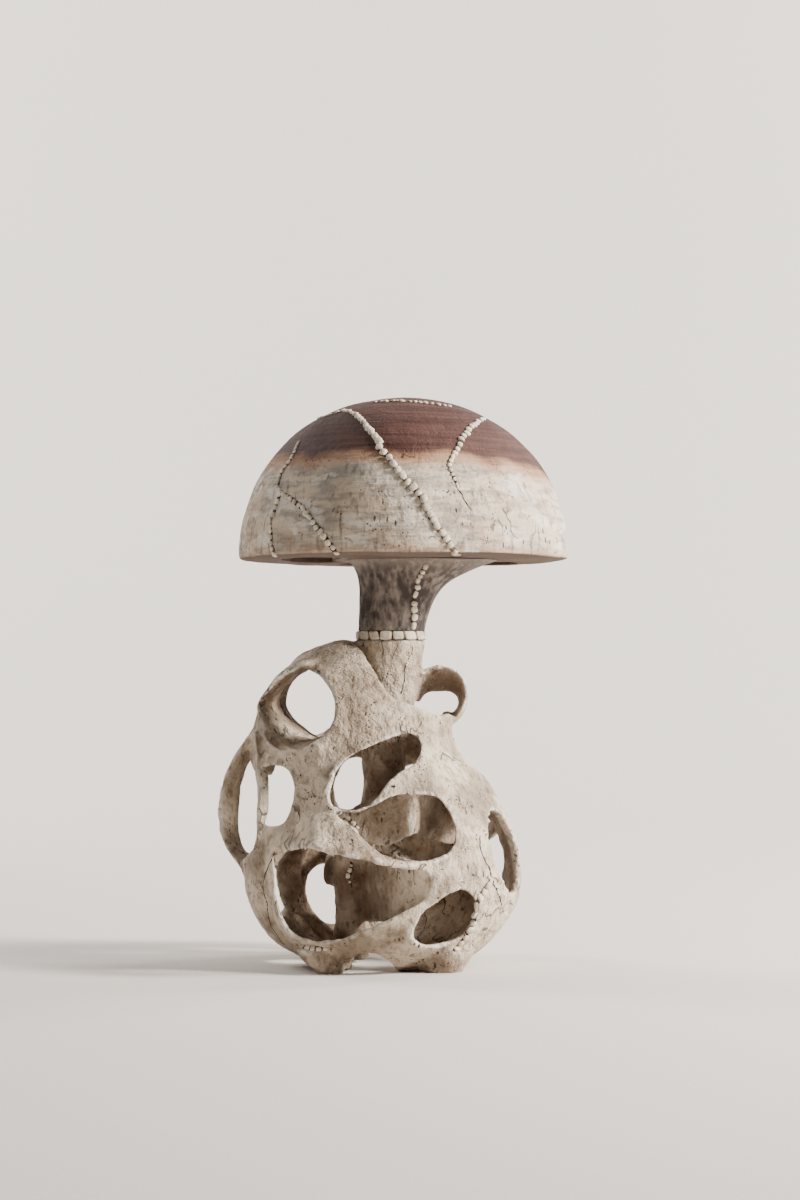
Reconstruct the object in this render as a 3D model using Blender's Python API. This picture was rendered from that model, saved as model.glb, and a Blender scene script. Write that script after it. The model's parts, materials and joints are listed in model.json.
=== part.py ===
"""A hand-built stoneware sculpture in the shape of a mushroom.

A hollow domed cap stands on a flared stem section, which stands on a lower stem that grows out of an
openwork body of pierced clay. Flat clay stones fill the joint between the two stem sections. Metres,
+Z up; the origin is on the resting plane, under the middle of the sculpture's bounding box, and the
front faces -Y.
"""

import math

import bmesh
import bpy
from mathutils import Matrix, Vector

MM = 0.001

# Driving dimensions, in millimetres
CLEARANCE = 0.3
WALL = 9.0

CAP_CENTRE_X = 11.0
CAP_RADIUS = 188.0
CAP_RIM_Z = 457.0
CAP_TOP_Z = 641.0
CAP_WALL = 9.0
CAP_FLOOR = 8.0
CAP_SEGMENTS = 48
CAP_FALL_STEPS = 8
CAP_FULLNESS = (0.97, 0.95)
RIM_RISE = 4.0

JOINT_X = -3.0
JOINT_Z = 371.0
JOINT_HEIGHT = 10.6
STONE_COUNT = 16
STONE_RADIUS = 40.6
STONE_GAP = 1.6
STONE_UNEVENNESS = 0.8
STONE_BEVEL = 2.0
NECK_RADIUS = 32.4
STEM_RADIUS = 38.0
STEM_BORE = 24.0
SEAT_MARGIN = 4.0
BORE_INSET = 12.0
BORE_POINTS = 5
BORE_SIDES = 24
BORE_FOOT = 350.0
BORE_TOP = 480.0

# The hollow body before it is pierced, from its lowest point to its top:
# height, left, right, front and back of each level
BODY_LEVELS = (
    (-14, -14, -14, -6, -6),
    (-7, -62, 40, -62, 58),
    (6, -106, 84, -104, 98),
    (32, -141, 113, -133, 124),
    (70, -163, 138, -146, 137),
    (115, -171, 144, -149, 140),
    (160, -167, 132, -144, 135),
    (205, -163, 106, -131, 124),
    (227, -163, 86, -124, 118),
    (248, -162, 69, -115, 112),
    (288, -153, 66, -100, 100),
    (318, -138, 46, -84, 88),
    (338, -119, 26, -67, 74),
    (355, -97, 2, -46, 48),
    (367, -62, -62, -8, -8),
)
BODY_SEGMENTS = 80
BODY_RINGS = 60
BODY_MIDDLE = Vector((-14, 0, 0))

# How far from the middle each cutter is drawn, and its size there
FRONT_CUT = ((-230, 1.04), (-120, 1.0), (-12, 0.96))
SIDE_CUT = ((34, 0.8), (130, 1.0), (230, 1.15))
GAP_CUT = (40, 200)
GAP_FLOOR = -4
GAP_BELOW = 30
FAR_BELOW = -60
FAR_ASIDE = 400

# The lower stem, from its top to its foot: x, y, z and radius
STEM_ROUTE = (
    (-3, 0, 392, 38.0),
    (-4, 0, 350, 37.5),
    (-9, 0, 300, 34.0),
    (-12, -6, 240, 26.0),
    (-13, -14, 190, 22.0),
    (-30, -26, 152, 20.0),
    (-49, -34, 122, 18.5),
    (-49, -38, 80, 17.5),
    (-47, -38, 40, 17.5),
    (-46, -36, 8, 19.0),
)

# The flared stem section: height, left, right, front and back of each level
FLARE_LEVELS = (
    (376.3, -41, 35, -38, 38),
    (388, -40, 38, -38.5, 38.5),
    (402, -39, 43, -39.5, 39.5),
    (415, -39, 49, -41, 41),
    (428, -39.5, 59, -44, 44),
    (438, -41, 72, -48, 48),
    (446, -44, 88, -53, 52),
    (452, -48, 104, -58, 56),
    (456.7, -54, 118, -63, 60),
)
FLARE_SEGMENTS = 32

# Holes seen from the front, each a smooth closed outline of x and z
FRONT_HOLES = {
    "upper_left": ((-104, 338), (-80, 327), (-66, 308), (-62, 286), (-68, 268), (-84, 253),
                   (-108, 243), (-124, 244), (-137, 255), (-147, 280), (-145, 300), (-128, 325)),
    "neck": ((-58, 372), (-44, 361), (-27, 339), (-11, 312), (4, 298), (24, 290), (45, 281),
             (64, 281), (75, 291), (78, 306), (77, 320), (96, 338), (60, 400), (-20, 410)),
    "centre": ((18, 262), (29, 248), (22, 230), (8, 222), (-5, 211), (-18, 195), (-30, 184),
               (-46, 180), (-64, 184), (-68, 196), (-64, 216), (-52, 232), (-35, 243), (-8, 256)),
    "belly": ((-62, 177), (-42, 177), (-22, 184), (-9, 191), (8, 196), (31, 196), (47, 191),
              (59, 174), (65, 155), (59, 136), (42, 127), (18, 124), (-8, 126), (-22, 134), (-40, 150)),
    "lower_left": ((-129, 136), (-128, 112), (-126, 83), (-119, 58), (-108, 43), (-85, 36),
                   (-56, 41), (-34, 50), (-12, 60), (8, 71), (28, 82), (41, 94), (44, 105),
                   (34, 114), (6, 118), (-26, 126), (-52, 134), (-100, 142)),
    "lower_right": ((70, 94), (82, 86), (87, 70), (80, 50), (66, 38), (46, 33), (28, 35),
                    (20, 46), (27, 63), (40, 80), (56, 91)),
    "left_window": ((-122, 226), (-112, 219), (-107, 202), (-111, 178), (-123, 160), (-140, 162),
                    (-152, 176), (-154, 196), (-150, 216), (-138, 226)),
}

# Holes cut straight outwards from inside the body: centre height, turn from the front towards +X in
# degrees, half width, half height and lean in degrees
SIDE_HOLES = {
    "right_eye": (130, 68, 34, 46, 16),
    "right_low": (56, 96, 28, 22, 8),
    "right_back_eye": (122, 122, 38, 48, -10),
    "right_shoulder": (214, 106, 32, 38, 14),
    "left_loop": (172, -88, 80, 52, 0),
    "left_back_low": (78, -112, 36, 30, 10),
    "back_arch": (298, -134, 48, 46, 0),
    "back_ring": (300, 132, 44, 32, 0),
    "right_ring": (305, 90, 50, 27, 0),
    "back_high": (272, 178, 34, 27, -16),
    "back_left_window": (190, -128, 43, 44, 0),
    "back_left_middle": (194, -165, 25, 36, 0),
    "back_middle": (186, 156, 46, 38, -14),
    "back_left_low": (68, -150, 28, 35, -6),
    "back_low": (68, 180, 34, 32, 8),
}

# Straps of clay: along each one x, y, z, half width, and the direction of its width
STRAPS = {
    "left_handle": (
        ((-150, -6, 272), 9, (0.3, 1, 0)),
        ((-166, 8, 244), 14, (0.8, 1, 0)),
        ((-183, 18, 210), 16, (0.95, 1, 0)),
        ((-189.6, 22, 168), 15, (0.95, 1, 0)),
        ((-184, 18, 134), 14, (0.9, 1, 0)),
        ((-166, 6, 108), 13, (0.6, 1, 0)),
        ((-158, -4, 82), 10, (0, 1, 0)),
    ),
    "left_strip": (
        ((-148, -46, 262), 13, (0.7, 1, 0)),
        ((-146, -56, 232), 10, (0.7, 1, 0)),
        ((-144, -62, 196), 7, (0.7, 1, 0)),
        ((-145, -62, 164), 8, (0.7, 1, 0)),
        ((-150, -62, 126), 13, (0.7, 1, 0)),
    ),
    "front_lip": (
        ((-134, -62, 132), 9, (0.1, 0.1, 1)),
        ((-112, -108, 150), 18, (0.1, 0.4, 1)),
        ((-84, -140, 159), 25, (0.1, 0.7, 1)),
        ((-54, -153, 148), 23, (0, 0.8, 0.9)),
        ((-26, -158, 134), 14, (0, 1, 0.6)),
        ((0, -154, 124), 8, (0, 1, 0.4)),
        ((28, -143, 121), 6, (0, 1, 0.3)),
        ((56, -127, 126), 6, (0, 0.6, 0.8)),
    ),
    "inner_fold": (
        ((-66, -112, 176), 8, (0, 0.1, 1)),
        ((-46, -104, 165), 18, (0, 0.2, 1)),
        ((-14, -106, 168), 30, (0, 0.1, 1)),
        ((10, -114, 175), 27, (0, 0, 1)),
        ((20, -116, 177), 25, (0, 0, 1)),
        ((29, -98, 176), 27, (0, 0, 1)),
        ((46, -66, 172), 31, (0, 0, 1)),
        ((62, -44, 168), 33, (0, 0, 1)),
        ((88, -30, 168), 28, (0, 0, 1)),
    ),
    "foot_web": (
        ((-40, -32, 92), 34, (0, 0, 1)),
        ((-26, -56, 92), 36, (0, 0, 1)),
        ((-6, -90, 93), 36, (0, 0, 1)),
        ((14, -119, 95), 33, (0, 0, 1)),
        ((32, -135, 98), 26, (0, 0, 1)),
        ((50, -137, 101), 17, (0, 0, 1)),
        ((68, -127, 103), 10, (0, 0, 1)),
    ),
    "back_curl": (
        ((-30, -24, 150), 14, (0, 0.3, 1)),
        ((-66, 0, 150), 15, (0.3, 0.3, 1)),
        ((-98, 26, 138), 16, (0.8, 0.3, 0.8)),
        ((-117, 42, 114), 16, (1, 0.3, 0.3)),
        ((-121, 50, 88), 16, (1, 0.3, 0)),
        ((-111, 54, 60), 16, (1, 0.3, -0.6)),
        ((-88, 46, 36), 15, (0.4, 0.3, -1)),
        ((-60, 22, 16), 14, (0.1, 0.3, -1)),
        ((-44, -6, 6), 12, (0.1, 0.3, -1)),
    ),
    "back_spur": (
        ((-50, -30, 108), 17, (0, 0, 1)),
        ((-70, 14, 102), 18, (0.1, 0, 1)),
        ((-76, 60, 106), 17, (0.2, 0, 1)),
        ((-62, 126, 116), 16, (0, 0, 1)),
    ),
    "back_lip": (
        ((126, 66, 156), 9, (0.1, 0.2, 1)),
        ((98, 112, 134), 15, (0.1, 0.4, 1)),
        ((58, 146, 122), 19, (0, 0.1, 1)),
        ((14, 156, 126), 17, (0, -0.3, 1)),
        ((-26, 148, 142), 11, (0, -0.8, 1)),
        ((-62, 126, 156), 7, (0, -0.6, 1)),
    ),
    "back_tie": (
        ((-12, 6, 226), 15, (0, 0, 1)),
        ((0, 60, 228), 15, (0.2, 0, 1)),
        ((6, 118, 220), 17, (0.4, 0, 1)),
    ),
    "arch_inside": (
        ((-84, -52, 341), 14, (0, 1, 0)),
        ((-97, -42, 338), 24, (0, 1, 0)),
        ((-116, -26, 327), 44, (0, 1, -0.1)),
        ((-133, -8, 305), 43, (0.15, 1, -0.1)),
        ((-135, -3, 288), 44, (0.3, 1, -0.1)),
        ((-122, -12, 271), 44, (0.45, 1, -0.1)),
        ((-103, -32, 255), 46, (0.5, 1, 0)),
        ((-88, -60, 250), 30, (0.4, 1, 0.1)),
        ((-70, -84, 256), 10, (0.3, 1, 0.3)),
    ),
    "pocket_tie": (
        ((-2, -88, 138), 7, (0, 1, 0.3)),
        ((8, -98, 128), 6, (0, 1, 0.6)),
        ((16, -112, 121), 6, (0, 1, 0.6)),
        ((30, -132, 120), 7, (0, 1, 0.3)),
    ),
}

# The upright ring at the right: its front and back rims as x, y, z, half width and half height
RING_FRONT = (52, 0, 304, 29, 34)
RING_BACK = (52, 44, 289, 25, 17)
RING_TURN = (-140, 180, 20)

# Feet that stand out from the body's underside: height, left, right, front and back of each level
FEET = {
    "front_foot": ((27, -112, -54, -118, -66), (12, -99, -51, -119, -76), (3, -87, -54, -116, -84),
                   (-8, -78, -58, -112, -90)),
    "right_foot": ((24, 34, 90, -110, -56), (12, 31, 84, -110, -54), (3, 31, 78, -106, -56),
                   (-8, 36, 70, -100, -62)),
}
STRAP_HALF_THICKNESS = 4.6
STRAP_SIDES = 12
STRAP_STEPS = 6
CUTTER_SIDES = 32
STEM_SIDES = 28

# Gaps under the body: direction from the middle in degrees from the front towards +X, half width, height
FOOT_GAPS = ((-6, 27, 25), (98, 34, 20), (178, 38, 24), (-92, 38, 18))
UNDERSIDE_RADIUS = 62.0
UNDERSIDE_TOP = 20.0
FOOT_STEPS = 4

# Openings in the cap's floor: inner radius, outer radius, and the directions that it spans in degrees
CAP_SLOTS = ((78, 140, 140, 220), (96, 160, 22, 72), (90, 148, 84, 128))
SLOT_STEPS = 8
SLOT_MARGIN = 3.0

VOXEL = 3.2
SMOOTH_STEPS = 6
BODY_SHARE_KEPT = 0.032

MATERIALS = {
    "pale_clay": ((0.60, 0.55, 0.48), 0.85),
    "dark_wash": ((0.33, 0.29, 0.28), 0.75),
    "plum_glaze": ((0.30, 0.17, 0.15), 0.55),
    "white_stone": ((0.68, 0.64, 0.57), 0.8),
}


def clear_scene():
    """Remove every object that the file starts with."""
    for item in list(bpy.data.objects):
        bpy.data.objects.remove(item, do_unlink=True)


def clay(name):
    """Return the named material, made on first use."""
    material = bpy.data.materials.get(name)
    if material is None:
        colour, roughness = MATERIALS[name]
        material = bpy.data.materials.new(name)
        material.use_nodes = True
        shader = material.node_tree.nodes["Principled BSDF"]
        shader.inputs["Base Color"].default_value = (*colour, 1.0)
        shader.inputs["Roughness"].default_value = roughness
        shader.inputs["Metallic"].default_value = 0.0
    return material


def to_object(name, mesh_edit, material=None, parent=None):
    """Turn a bmesh in millimetres into an object in metres, with its faces pointing out."""
    bmesh.ops.scale(mesh_edit, vec=(MM, MM, MM), verts=mesh_edit.verts)
    bmesh.ops.recalc_face_normals(mesh_edit, faces=mesh_edit.faces)
    mesh = bpy.data.meshes.new(name)
    mesh_edit.to_mesh(mesh)
    mesh_edit.free()
    item = bpy.data.objects.new(name, mesh)
    bpy.context.collection.objects.link(item)
    item.parent = parent
    if material:
        mesh.materials.append(clay(material))
        mesh.shade_smooth()
        mesh.set_sharp_from_angle(angle=math.radians(50))
    return item


def spline(points, place, closed=False):
    """Return the point at a fractional place along a Catmull-Rom curve through the given points."""
    count = len(points)
    first = int(math.floor(place))
    if not closed:
        first = min(max(first, 0), count - 2)
    share = place - first

    def pick(index):
        if closed:
            return points[index % count]
        return points[min(max(index, 0), count - 1)]

    before, start, end, after = (pick(first + step) for step in (-1, 0, 1, 2))
    return tuple(
        0.5 * (2 * b + (c - a) * share + (2 * a - 5 * b + 4 * c - d) * share**2
               + (3 * b - a - 3 * c + d) * share**3)
        for a, b, c, d in zip(before, start, end, after)
    )


def rings_to_bmesh(rings, capped=True):
    """Join rings of points, each with the same number of points, into a closed tube."""
    mesh_edit = bmesh.new()
    levels = [[mesh_edit.verts.new(point) for point in ring] for ring in rings]
    count = len(levels[0])
    for lower, upper in zip(levels, levels[1:]):
        for index in range(count):
            after = (index + 1) % count
            mesh_edit.faces.new((lower[index], lower[after], upper[after], upper[index]))
    if capped:
        mesh_edit.faces.new(levels[0][::-1])
        mesh_edit.faces.new(levels[-1])
    return mesh_edit


def level_ring(level, segments):
    """Return an oval ring of points from a height, left, right, front and back."""
    height, left, right, front, back = level
    ring = []
    for index in range(segments):
        turn = 2 * math.pi * index / segments
        x = (left + right) / 2 + (right - left) / 2 * math.cos(turn)
        y = (front + back) / 2 + (back - front) / 2 * math.sin(turn)
        ring.append((x, y, height))
    return ring


def body_blank():
    """Return the unpierced body, a closed egg-like form through BODY_LEVELS."""
    last = len(BODY_LEVELS) - 1
    places = [last * (index + 0.5) / BODY_RINGS for index in range(BODY_RINGS)]
    rings = [level_ring(spline(BODY_LEVELS, place), BODY_SEGMENTS) for place in places]
    return rings_to_bmesh(rings)


def smooth_outline(points, steps=4):
    """Return a closed outline that runs smoothly through the given points."""
    return [spline(points, index / steps, closed=True) for index in range(len(points) * steps)]


def front_cutter(name, outline):
    """Make a cutter for a hole in the front wall, which tapers inwards as a hand-cut hole does."""
    middle_x = sum(x for x, _ in outline) / len(outline)
    middle_z = sum(z for _, z in outline) / len(outline)
    rings = []
    for depth, size in FRONT_CUT:
        ring = [(middle_x + (x - middle_x) * size, depth, middle_z + (z - middle_z) * size)
                for x, z in smooth_outline(outline)]
        rings.append(ring)
    return cutter(name, rings_to_bmesh(rings))


def side_cutter(name, height, turn, half_width, half_height, lean):
    """Make an oval cutter that points straight out from the middle of the body."""
    spin = Matrix.Rotation(math.radians(turn), 3, "Z")
    tilt = Matrix.Rotation(-math.radians(lean), 3, "Y")
    middle = BODY_MIDDLE + Vector((0, 0, height))
    rings = []
    for reach, size in SIDE_CUT:
        oval = level_ring((0, -half_width * size, half_width * size, -half_height * size,
                           half_height * size), CUTTER_SIDES)
        rings.append([middle + spin @ (tilt @ Vector((x, 0, y)) + Vector((0, -reach, 0)))
                      for x, y, _ in oval])
    return cutter(name, rings_to_bmesh(rings))


def arch_cutter(name, turn, half_width, height):
    """Make a cutter for an arched gap between two feet."""
    spin = Matrix.Rotation(math.radians(turn), 3, "Z")
    rings = []
    for reach in GAP_CUT:
        ring = []
        for x, y, _ in level_ring((0, -half_width, half_width, -1, 1), CUTTER_SIDES):
            rise = y * (height - GAP_FLOOR if y > 0 else GAP_BELOW) + GAP_FLOOR
            ring.append(BODY_MIDDLE + spin @ Vector((x, -reach, rise)))
        rings.append(ring)
    return cutter(name, rings_to_bmesh(rings))


def cutter(name, mesh_edit):
    """Make an object that only cuts others."""
    item = to_object(name, mesh_edit)
    item.hide_render = True
    item.display_type = "WIRE"
    return item


def strap(points):
    """Return a flat oval bar through points that each give a place, a half width and a direction."""
    flat = [(*place, half_width, *across) for place, half_width, across in points]
    places = [index / STRAP_STEPS for index in range((len(flat) - 1) * STRAP_STEPS + 1)]
    samples = [spline(flat, place) for place in places]
    rings = []
    for index, sample in enumerate(samples):
        centre = Vector(sample[:3])
        before = Vector(samples[max(index - 1, 0)][:3])
        after = Vector(samples[min(index + 1, len(samples) - 1)][:3])
        along = (after - before).normalized()
        across = Vector(sample[4:])
        across = (across - along * across.dot(along)).normalized()
        outwards = along.cross(across)
        ring = []
        for side in range(STRAP_SIDES):
            angle = 2 * math.pi * side / STRAP_SIDES
            ring.append(centre + across * sample[3] * math.cos(angle)
                        + outwards * STRAP_HALF_THICKNESS * math.sin(angle))
        rings.append(ring)
    return rings_to_bmesh(rings)


def upright_ring():
    """Return the points of a strap that runs once round between the upright ring's two rims."""
    points = []
    for degrees in range(RING_TURN[0], RING_TURN[1] + 1, RING_TURN[2]):
        turn = math.radians(degrees)
        front, back = (Vector((x + half_width * math.cos(turn), y, z + half_height * math.sin(turn)))
                       for x, y, z, half_width, half_height in (RING_FRONT, RING_BACK))
        points.append(((front + back) / 2, (back - front).length / 2, (back - front).normalized()))
    return points


def round_bar(route, segments=STEM_SIDES, steps=4):
    """Return a round bar along points of x, y, z and radius, with level ends."""
    places = [index / steps for index in range((len(route) - 1) * steps + 1)]
    rings = []
    for x, y, z, radius in (spline(route, place) for place in places):
        rings.append(level_ring((z, x - radius, x + radius, y - radius, y + radius), segments))
    return rings_to_bmesh(rings)


def turned(profile, centre_x, segments):
    """Return a body turned about a vertical axis from a closed profile of radius and height."""
    mesh_edit = bmesh.new()
    points = [mesh_edit.verts.new((centre_x + radius, 0, height)) for radius, height in profile]
    edges = []
    for index, point in enumerate(points):
        on_axis = profile[index - 1][0] == 0 and profile[index][0] == 0
        if not on_axis:
            edges.append(mesh_edit.edges.new((points[index - 1], point)))
    bmesh.ops.spin(mesh_edit, geom=points + edges, cent=(centre_x, 0, 0), axis=(0, 0, 1),
                   angle=2 * math.pi, steps=segments, use_merge=True)
    bmesh.ops.remove_doubles(mesh_edit, verts=mesh_edit.verts, dist=0.001)
    return mesh_edit


def gather(name, items):
    """Put objects in a collection of their own, so that one modifier can use them all."""
    group = bpy.data.collections.new(name)
    bpy.context.scene.collection.children.link(group)
    for item in items:
        for home in list(item.users_collection):
            home.objects.unlink(item)
        group.objects.link(item)
    return group


def boolean(item, name, operation, group=None, other=None):
    """Add a Boolean modifier that works with a collection or with one object."""
    modifier = item.modifiers.new(name, "BOOLEAN")
    modifier.operation = operation
    modifier.solver = "EXACT"
    if group:
        modifier.operand_type = "COLLECTION"
        modifier.collection = group
    else:
        modifier.object = other
    return modifier


def press_together(body, added):
    """Make the body, as its modifiers leave it, one mesh with the pieces added to it."""
    graph = bpy.context.evaluated_depsgraph_get()
    mesh_edit = bmesh.new()
    mesh_edit.from_object(body, graph)
    for piece in added:
        bmesh.ops.scale(piece, vec=(MM, MM, MM), verts=piece.verts)
        bmesh.ops.recalc_face_normals(piece, faces=piece.faces)
        mesh = bpy.data.meshes.new("added")
        piece.to_mesh(mesh)
        piece.free()
        mesh_edit.from_mesh(mesh)
        bpy.data.meshes.remove(mesh)
    body.modifiers.clear()
    mesh_edit.to_mesh(body.data)
    mesh_edit.free()
    body.data.shade_smooth()


def openwork_body(root):
    """Build the pierced body with its straps, its feet and the lower stem."""
    body = to_object("openwork_body", body_blank(), "pale_clay", root)
    wall = body.modifiers.new("wall", "SOLIDIFY")
    wall.thickness = WALL * MM
    wall.offset = -1
    wall.use_even_offset = True

    holes = [front_cutter(f"cut_{name}", outline) for name, outline in FRONT_HOLES.items()]
    holes += [side_cutter(f"cut_{name}", *sizes) for name, sizes in SIDE_HOLES.items()]
    holes += [arch_cutter(f"cut_gap_{index}", *sizes) for index, sizes in enumerate(FOOT_GAPS)]
    under = (BODY_MIDDLE.x - UNDERSIDE_RADIUS, BODY_MIDDLE.x + UNDERSIDE_RADIUS,
             BODY_MIDDLE.y - UNDERSIDE_RADIUS, BODY_MIDDLE.y + UNDERSIDE_RADIUS)
    holes.append(cutter("cut_underside", rings_to_bmesh(
        [level_ring((height, *under), CUTTER_SIDES) for height in (FAR_BELOW, UNDERSIDE_TOP)])))
    boolean(body, "holes", "DIFFERENCE", group=gather("holes", holes))

    added = [strap(points) for points in STRAPS.values()]
    added.append(strap(upright_ring()))
    added += [rings_to_bmesh([level_ring(spline(levels, index / FOOT_STEPS), STEM_SIDES)
                              for index in range((len(levels) - 1) * FOOT_STEPS + 1)])
              for levels in FEET.values()]
    added.append(round_bar(STEM_ROUTE))
    press_together(body, added)

    knead = body.modifiers.new("knead", "REMESH")
    knead.mode = "VOXEL"
    knead.voxel_size = VOXEL * MM
    rub = body.modifiers.new("rub", "SMOOTH")
    rub.factor = 0.5
    rub.iterations = SMOOTH_STEPS
    thin = body.modifiers.new("thin", "DECIMATE")
    thin.ratio = BODY_SHARE_KEPT

    low = JOINT_Z - JOINT_HEIGHT / 2
    neck_top = JOINT_Z + JOINT_HEIGHT / 2 - CLEARANCE
    above = STEM_ROUTE[0][2] + SEAT_MARGIN
    wide_of_stones = STONE_RADIUS + SEAT_MARGIN
    seat = turned(((NECK_RADIUS, low), (wide_of_stones, low), (wide_of_stones, above), (0.0, above),
                   (0.0, neck_top), (NECK_RADIUS, neck_top)), JOINT_X, CAP_SEGMENTS)
    wide = (-FAR_ASIDE, FAR_ASIDE, -FAR_ASIDE, FAR_ASIDE)
    bore = [(x, y, z, radius - BORE_INSET) for x, y, z, radius in STEM_ROUTE[:BORE_POINTS]]
    trims = [
        cutter("cut_seat", seat),
        cutter("cut_ground", rings_to_bmesh([level_ring((height, *wide), 4) for height in (FAR_BELOW, 0)])),
        cutter("cut_bore", round_bar(bore, segments=BORE_SIDES, steps=2)),
    ]
    boolean(body, "trims", "DIFFERENCE", group=gather("trims", trims))
    return body


def cap(root):
    """Build the hollow dome with its rim, its floor and the openings in the floor."""
    rise = CAP_TOP_Z - CAP_RIM_Z
    outer = []
    inner = []
    for index in range(CAP_FALL_STEPS + 1):
        turn = math.pi / 2 * index / CAP_FALL_STEPS
        radius = math.sin(turn) ** CAP_FULLNESS[0] if index else 0.0
        height = math.cos(turn) ** CAP_FULLNESS[1] if index < CAP_FALL_STEPS else 0.0
        outer.append((CAP_RADIUS * radius, CAP_RIM_Z + RIM_RISE + (rise - RIM_RISE) * height))
        inner.append(((CAP_RADIUS - CAP_WALL) * radius,
                      CAP_RIM_Z + CAP_FLOOR + (rise - CAP_FLOOR - CAP_WALL) * height))
    rim = [(CAP_RADIUS - 1.5, CAP_RIM_Z + 1), (CAP_RADIUS - 5, CAP_RIM_Z)]
    floor = [(STEM_BORE, CAP_RIM_Z), (STEM_BORE, CAP_RIM_Z + CAP_FLOOR)]
    dome = turned(outer + rim + floor + inner[::-1], CAP_CENTRE_X, CAP_SEGMENTS)
    item = to_object("cap", dome, "plum_glaze", root)
    slots = []
    for index, (inside, outside, start, end) in enumerate(CAP_SLOTS):
        slots.append(slot_cutter(f"cut_slot_{index}", inside, outside, start, end))
    boolean(item, "slots", "DIFFERENCE", group=gather("slots", slots))
    return item


def slot_cutter(name, inside, outside, start, end):
    """Make a cutter for a curved slot with round ends in the cap's floor."""
    middle = (inside + outside) / 2
    half = (outside - inside) / 2
    start, end = math.radians(start), math.radians(end)
    inset = half / middle
    start, end = start + inset, end - inset
    outline = []
    for side, first, last in ((1, start, end), (-1, end, start)):
        for index in range(SLOT_STEPS + 1):
            angle = first + (last - first) * index / SLOT_STEPS
            radius = middle + side * half
            outline.append((radius * math.cos(angle), radius * math.sin(angle)))
        for index in range(1, SLOT_STEPS):
            swing = math.pi * index / SLOT_STEPS
            reach = side * half * math.cos(swing)
            slide = side * half * math.sin(swing)
            radial = Vector((math.cos(last), math.sin(last)))
            tangent = Vector((-math.sin(last), math.cos(last)))
            outline.append(tuple(radial * (middle + reach) + tangent * slide))
    rings = [[(CAP_CENTRE_X + x, y, z) for x, y in outline]
             for z in (CAP_RIM_Z - SLOT_MARGIN, CAP_RIM_Z + CAP_FLOOR + SLOT_MARGIN)]
    return cutter(name, rings_to_bmesh(rings))


def upper_stem(root):
    """Build the flared stem section, with a bore down its middle."""
    rings = [level_ring(level, FLARE_SEGMENTS) for level in FLARE_LEVELS]
    item = to_object("upper_stem", rings_to_bmesh(rings), "dark_wash", root)
    bore = [level_ring((height, middle - STEM_BORE, middle + STEM_BORE, -STEM_BORE, STEM_BORE), BORE_SIDES)
            for middle, height in ((JOINT_X, BORE_FOOT), (CAP_CENTRE_X, BORE_TOP))]
    boolean(item, "bore", "DIFFERENCE", other=cutter("cut_stem_bore", rings_to_bmesh(bore)))
    return item


def joint_stone(root, index):
    """Build one flat clay stone of the ring between the two stem sections."""
    middle = 2 * math.pi * (index + 0.5) / STONE_COUNT
    half_angle = math.pi / STONE_COUNT - STONE_GAP / 2 / STEM_RADIUS
    half_height = JOINT_HEIGHT / 2 - CLEARANCE
    inside = NECK_RADIUS + CLEARANCE
    bulge = STONE_RADIUS - STONE_UNEVENNESS * (index % 3) / 2
    mesh_edit = bmesh.new()
    corners = []
    for radius in (inside / math.cos(half_angle), bulge):
        for side in (-1, 1):
            for level in (-1, 1):
                angle = middle + side * half_angle
                corners.append(mesh_edit.verts.new((
                    JOINT_X + radius * math.cos(angle), radius * math.sin(angle),
                    JOINT_Z + level * half_height)))
    for face in ((0, 1, 3, 2), (4, 6, 7, 5), (0, 4, 5, 1), (2, 3, 7, 6), (0, 2, 6, 4), (1, 5, 7, 3)):
        mesh_edit.faces.new([corners[number] for number in face])
    item = to_object(f"joint_stone_{index + 1:02d}", mesh_edit, "white_stone", root)
    soften = item.modifiers.new("soften", "BEVEL")
    soften.width = STONE_BEVEL * MM
    soften.segments = 1
    return item


def main():
    """Build the whole sculpture."""
    clear_scene()
    root = bpy.data.objects.new("sculpture", None)
    bpy.context.collection.objects.link(root)
    openwork_body(root)
    upper_stem(root)
    cap(root)
    for index in range(STONE_COUNT):
        joint_stone(root, index)


main()
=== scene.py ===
"""The looks of a hand-built stoneware mushroom sculpture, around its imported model.

An openwork body of pierced clay carries a flared stem and a hollow domed cap. Each sub-assembly is a
class that holds its sizes, builds its meshes and dresses them in its finish. Metres, +Z up, front to -Y.
"""

import json
import logging
import math
import random
from collections.abc import Iterable, Iterator, Sequence
from contextlib import contextmanager
from dataclasses import dataclass, field
from enum import Enum
from typing import Any

import bpy
import numpy as np
from mathutils import Matrix, Vector
from mathutils.bvhtree import BVHTree

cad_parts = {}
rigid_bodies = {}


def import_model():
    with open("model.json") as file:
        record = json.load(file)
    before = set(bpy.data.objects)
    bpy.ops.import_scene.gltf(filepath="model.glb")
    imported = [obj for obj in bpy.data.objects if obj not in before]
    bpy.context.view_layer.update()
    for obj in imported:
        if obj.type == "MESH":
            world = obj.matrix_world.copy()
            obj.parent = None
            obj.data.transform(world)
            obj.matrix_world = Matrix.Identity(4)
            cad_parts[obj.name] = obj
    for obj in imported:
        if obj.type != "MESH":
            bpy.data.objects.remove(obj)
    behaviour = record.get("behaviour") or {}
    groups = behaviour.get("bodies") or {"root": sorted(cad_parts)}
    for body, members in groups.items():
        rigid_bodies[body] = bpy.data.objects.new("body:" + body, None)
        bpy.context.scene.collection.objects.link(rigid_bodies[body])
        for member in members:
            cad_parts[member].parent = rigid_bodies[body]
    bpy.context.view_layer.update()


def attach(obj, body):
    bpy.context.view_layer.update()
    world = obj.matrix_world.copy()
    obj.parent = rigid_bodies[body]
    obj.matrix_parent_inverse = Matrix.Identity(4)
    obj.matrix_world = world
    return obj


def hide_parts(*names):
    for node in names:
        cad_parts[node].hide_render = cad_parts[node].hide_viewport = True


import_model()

log = logging.getLogger("sculpture")

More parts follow.
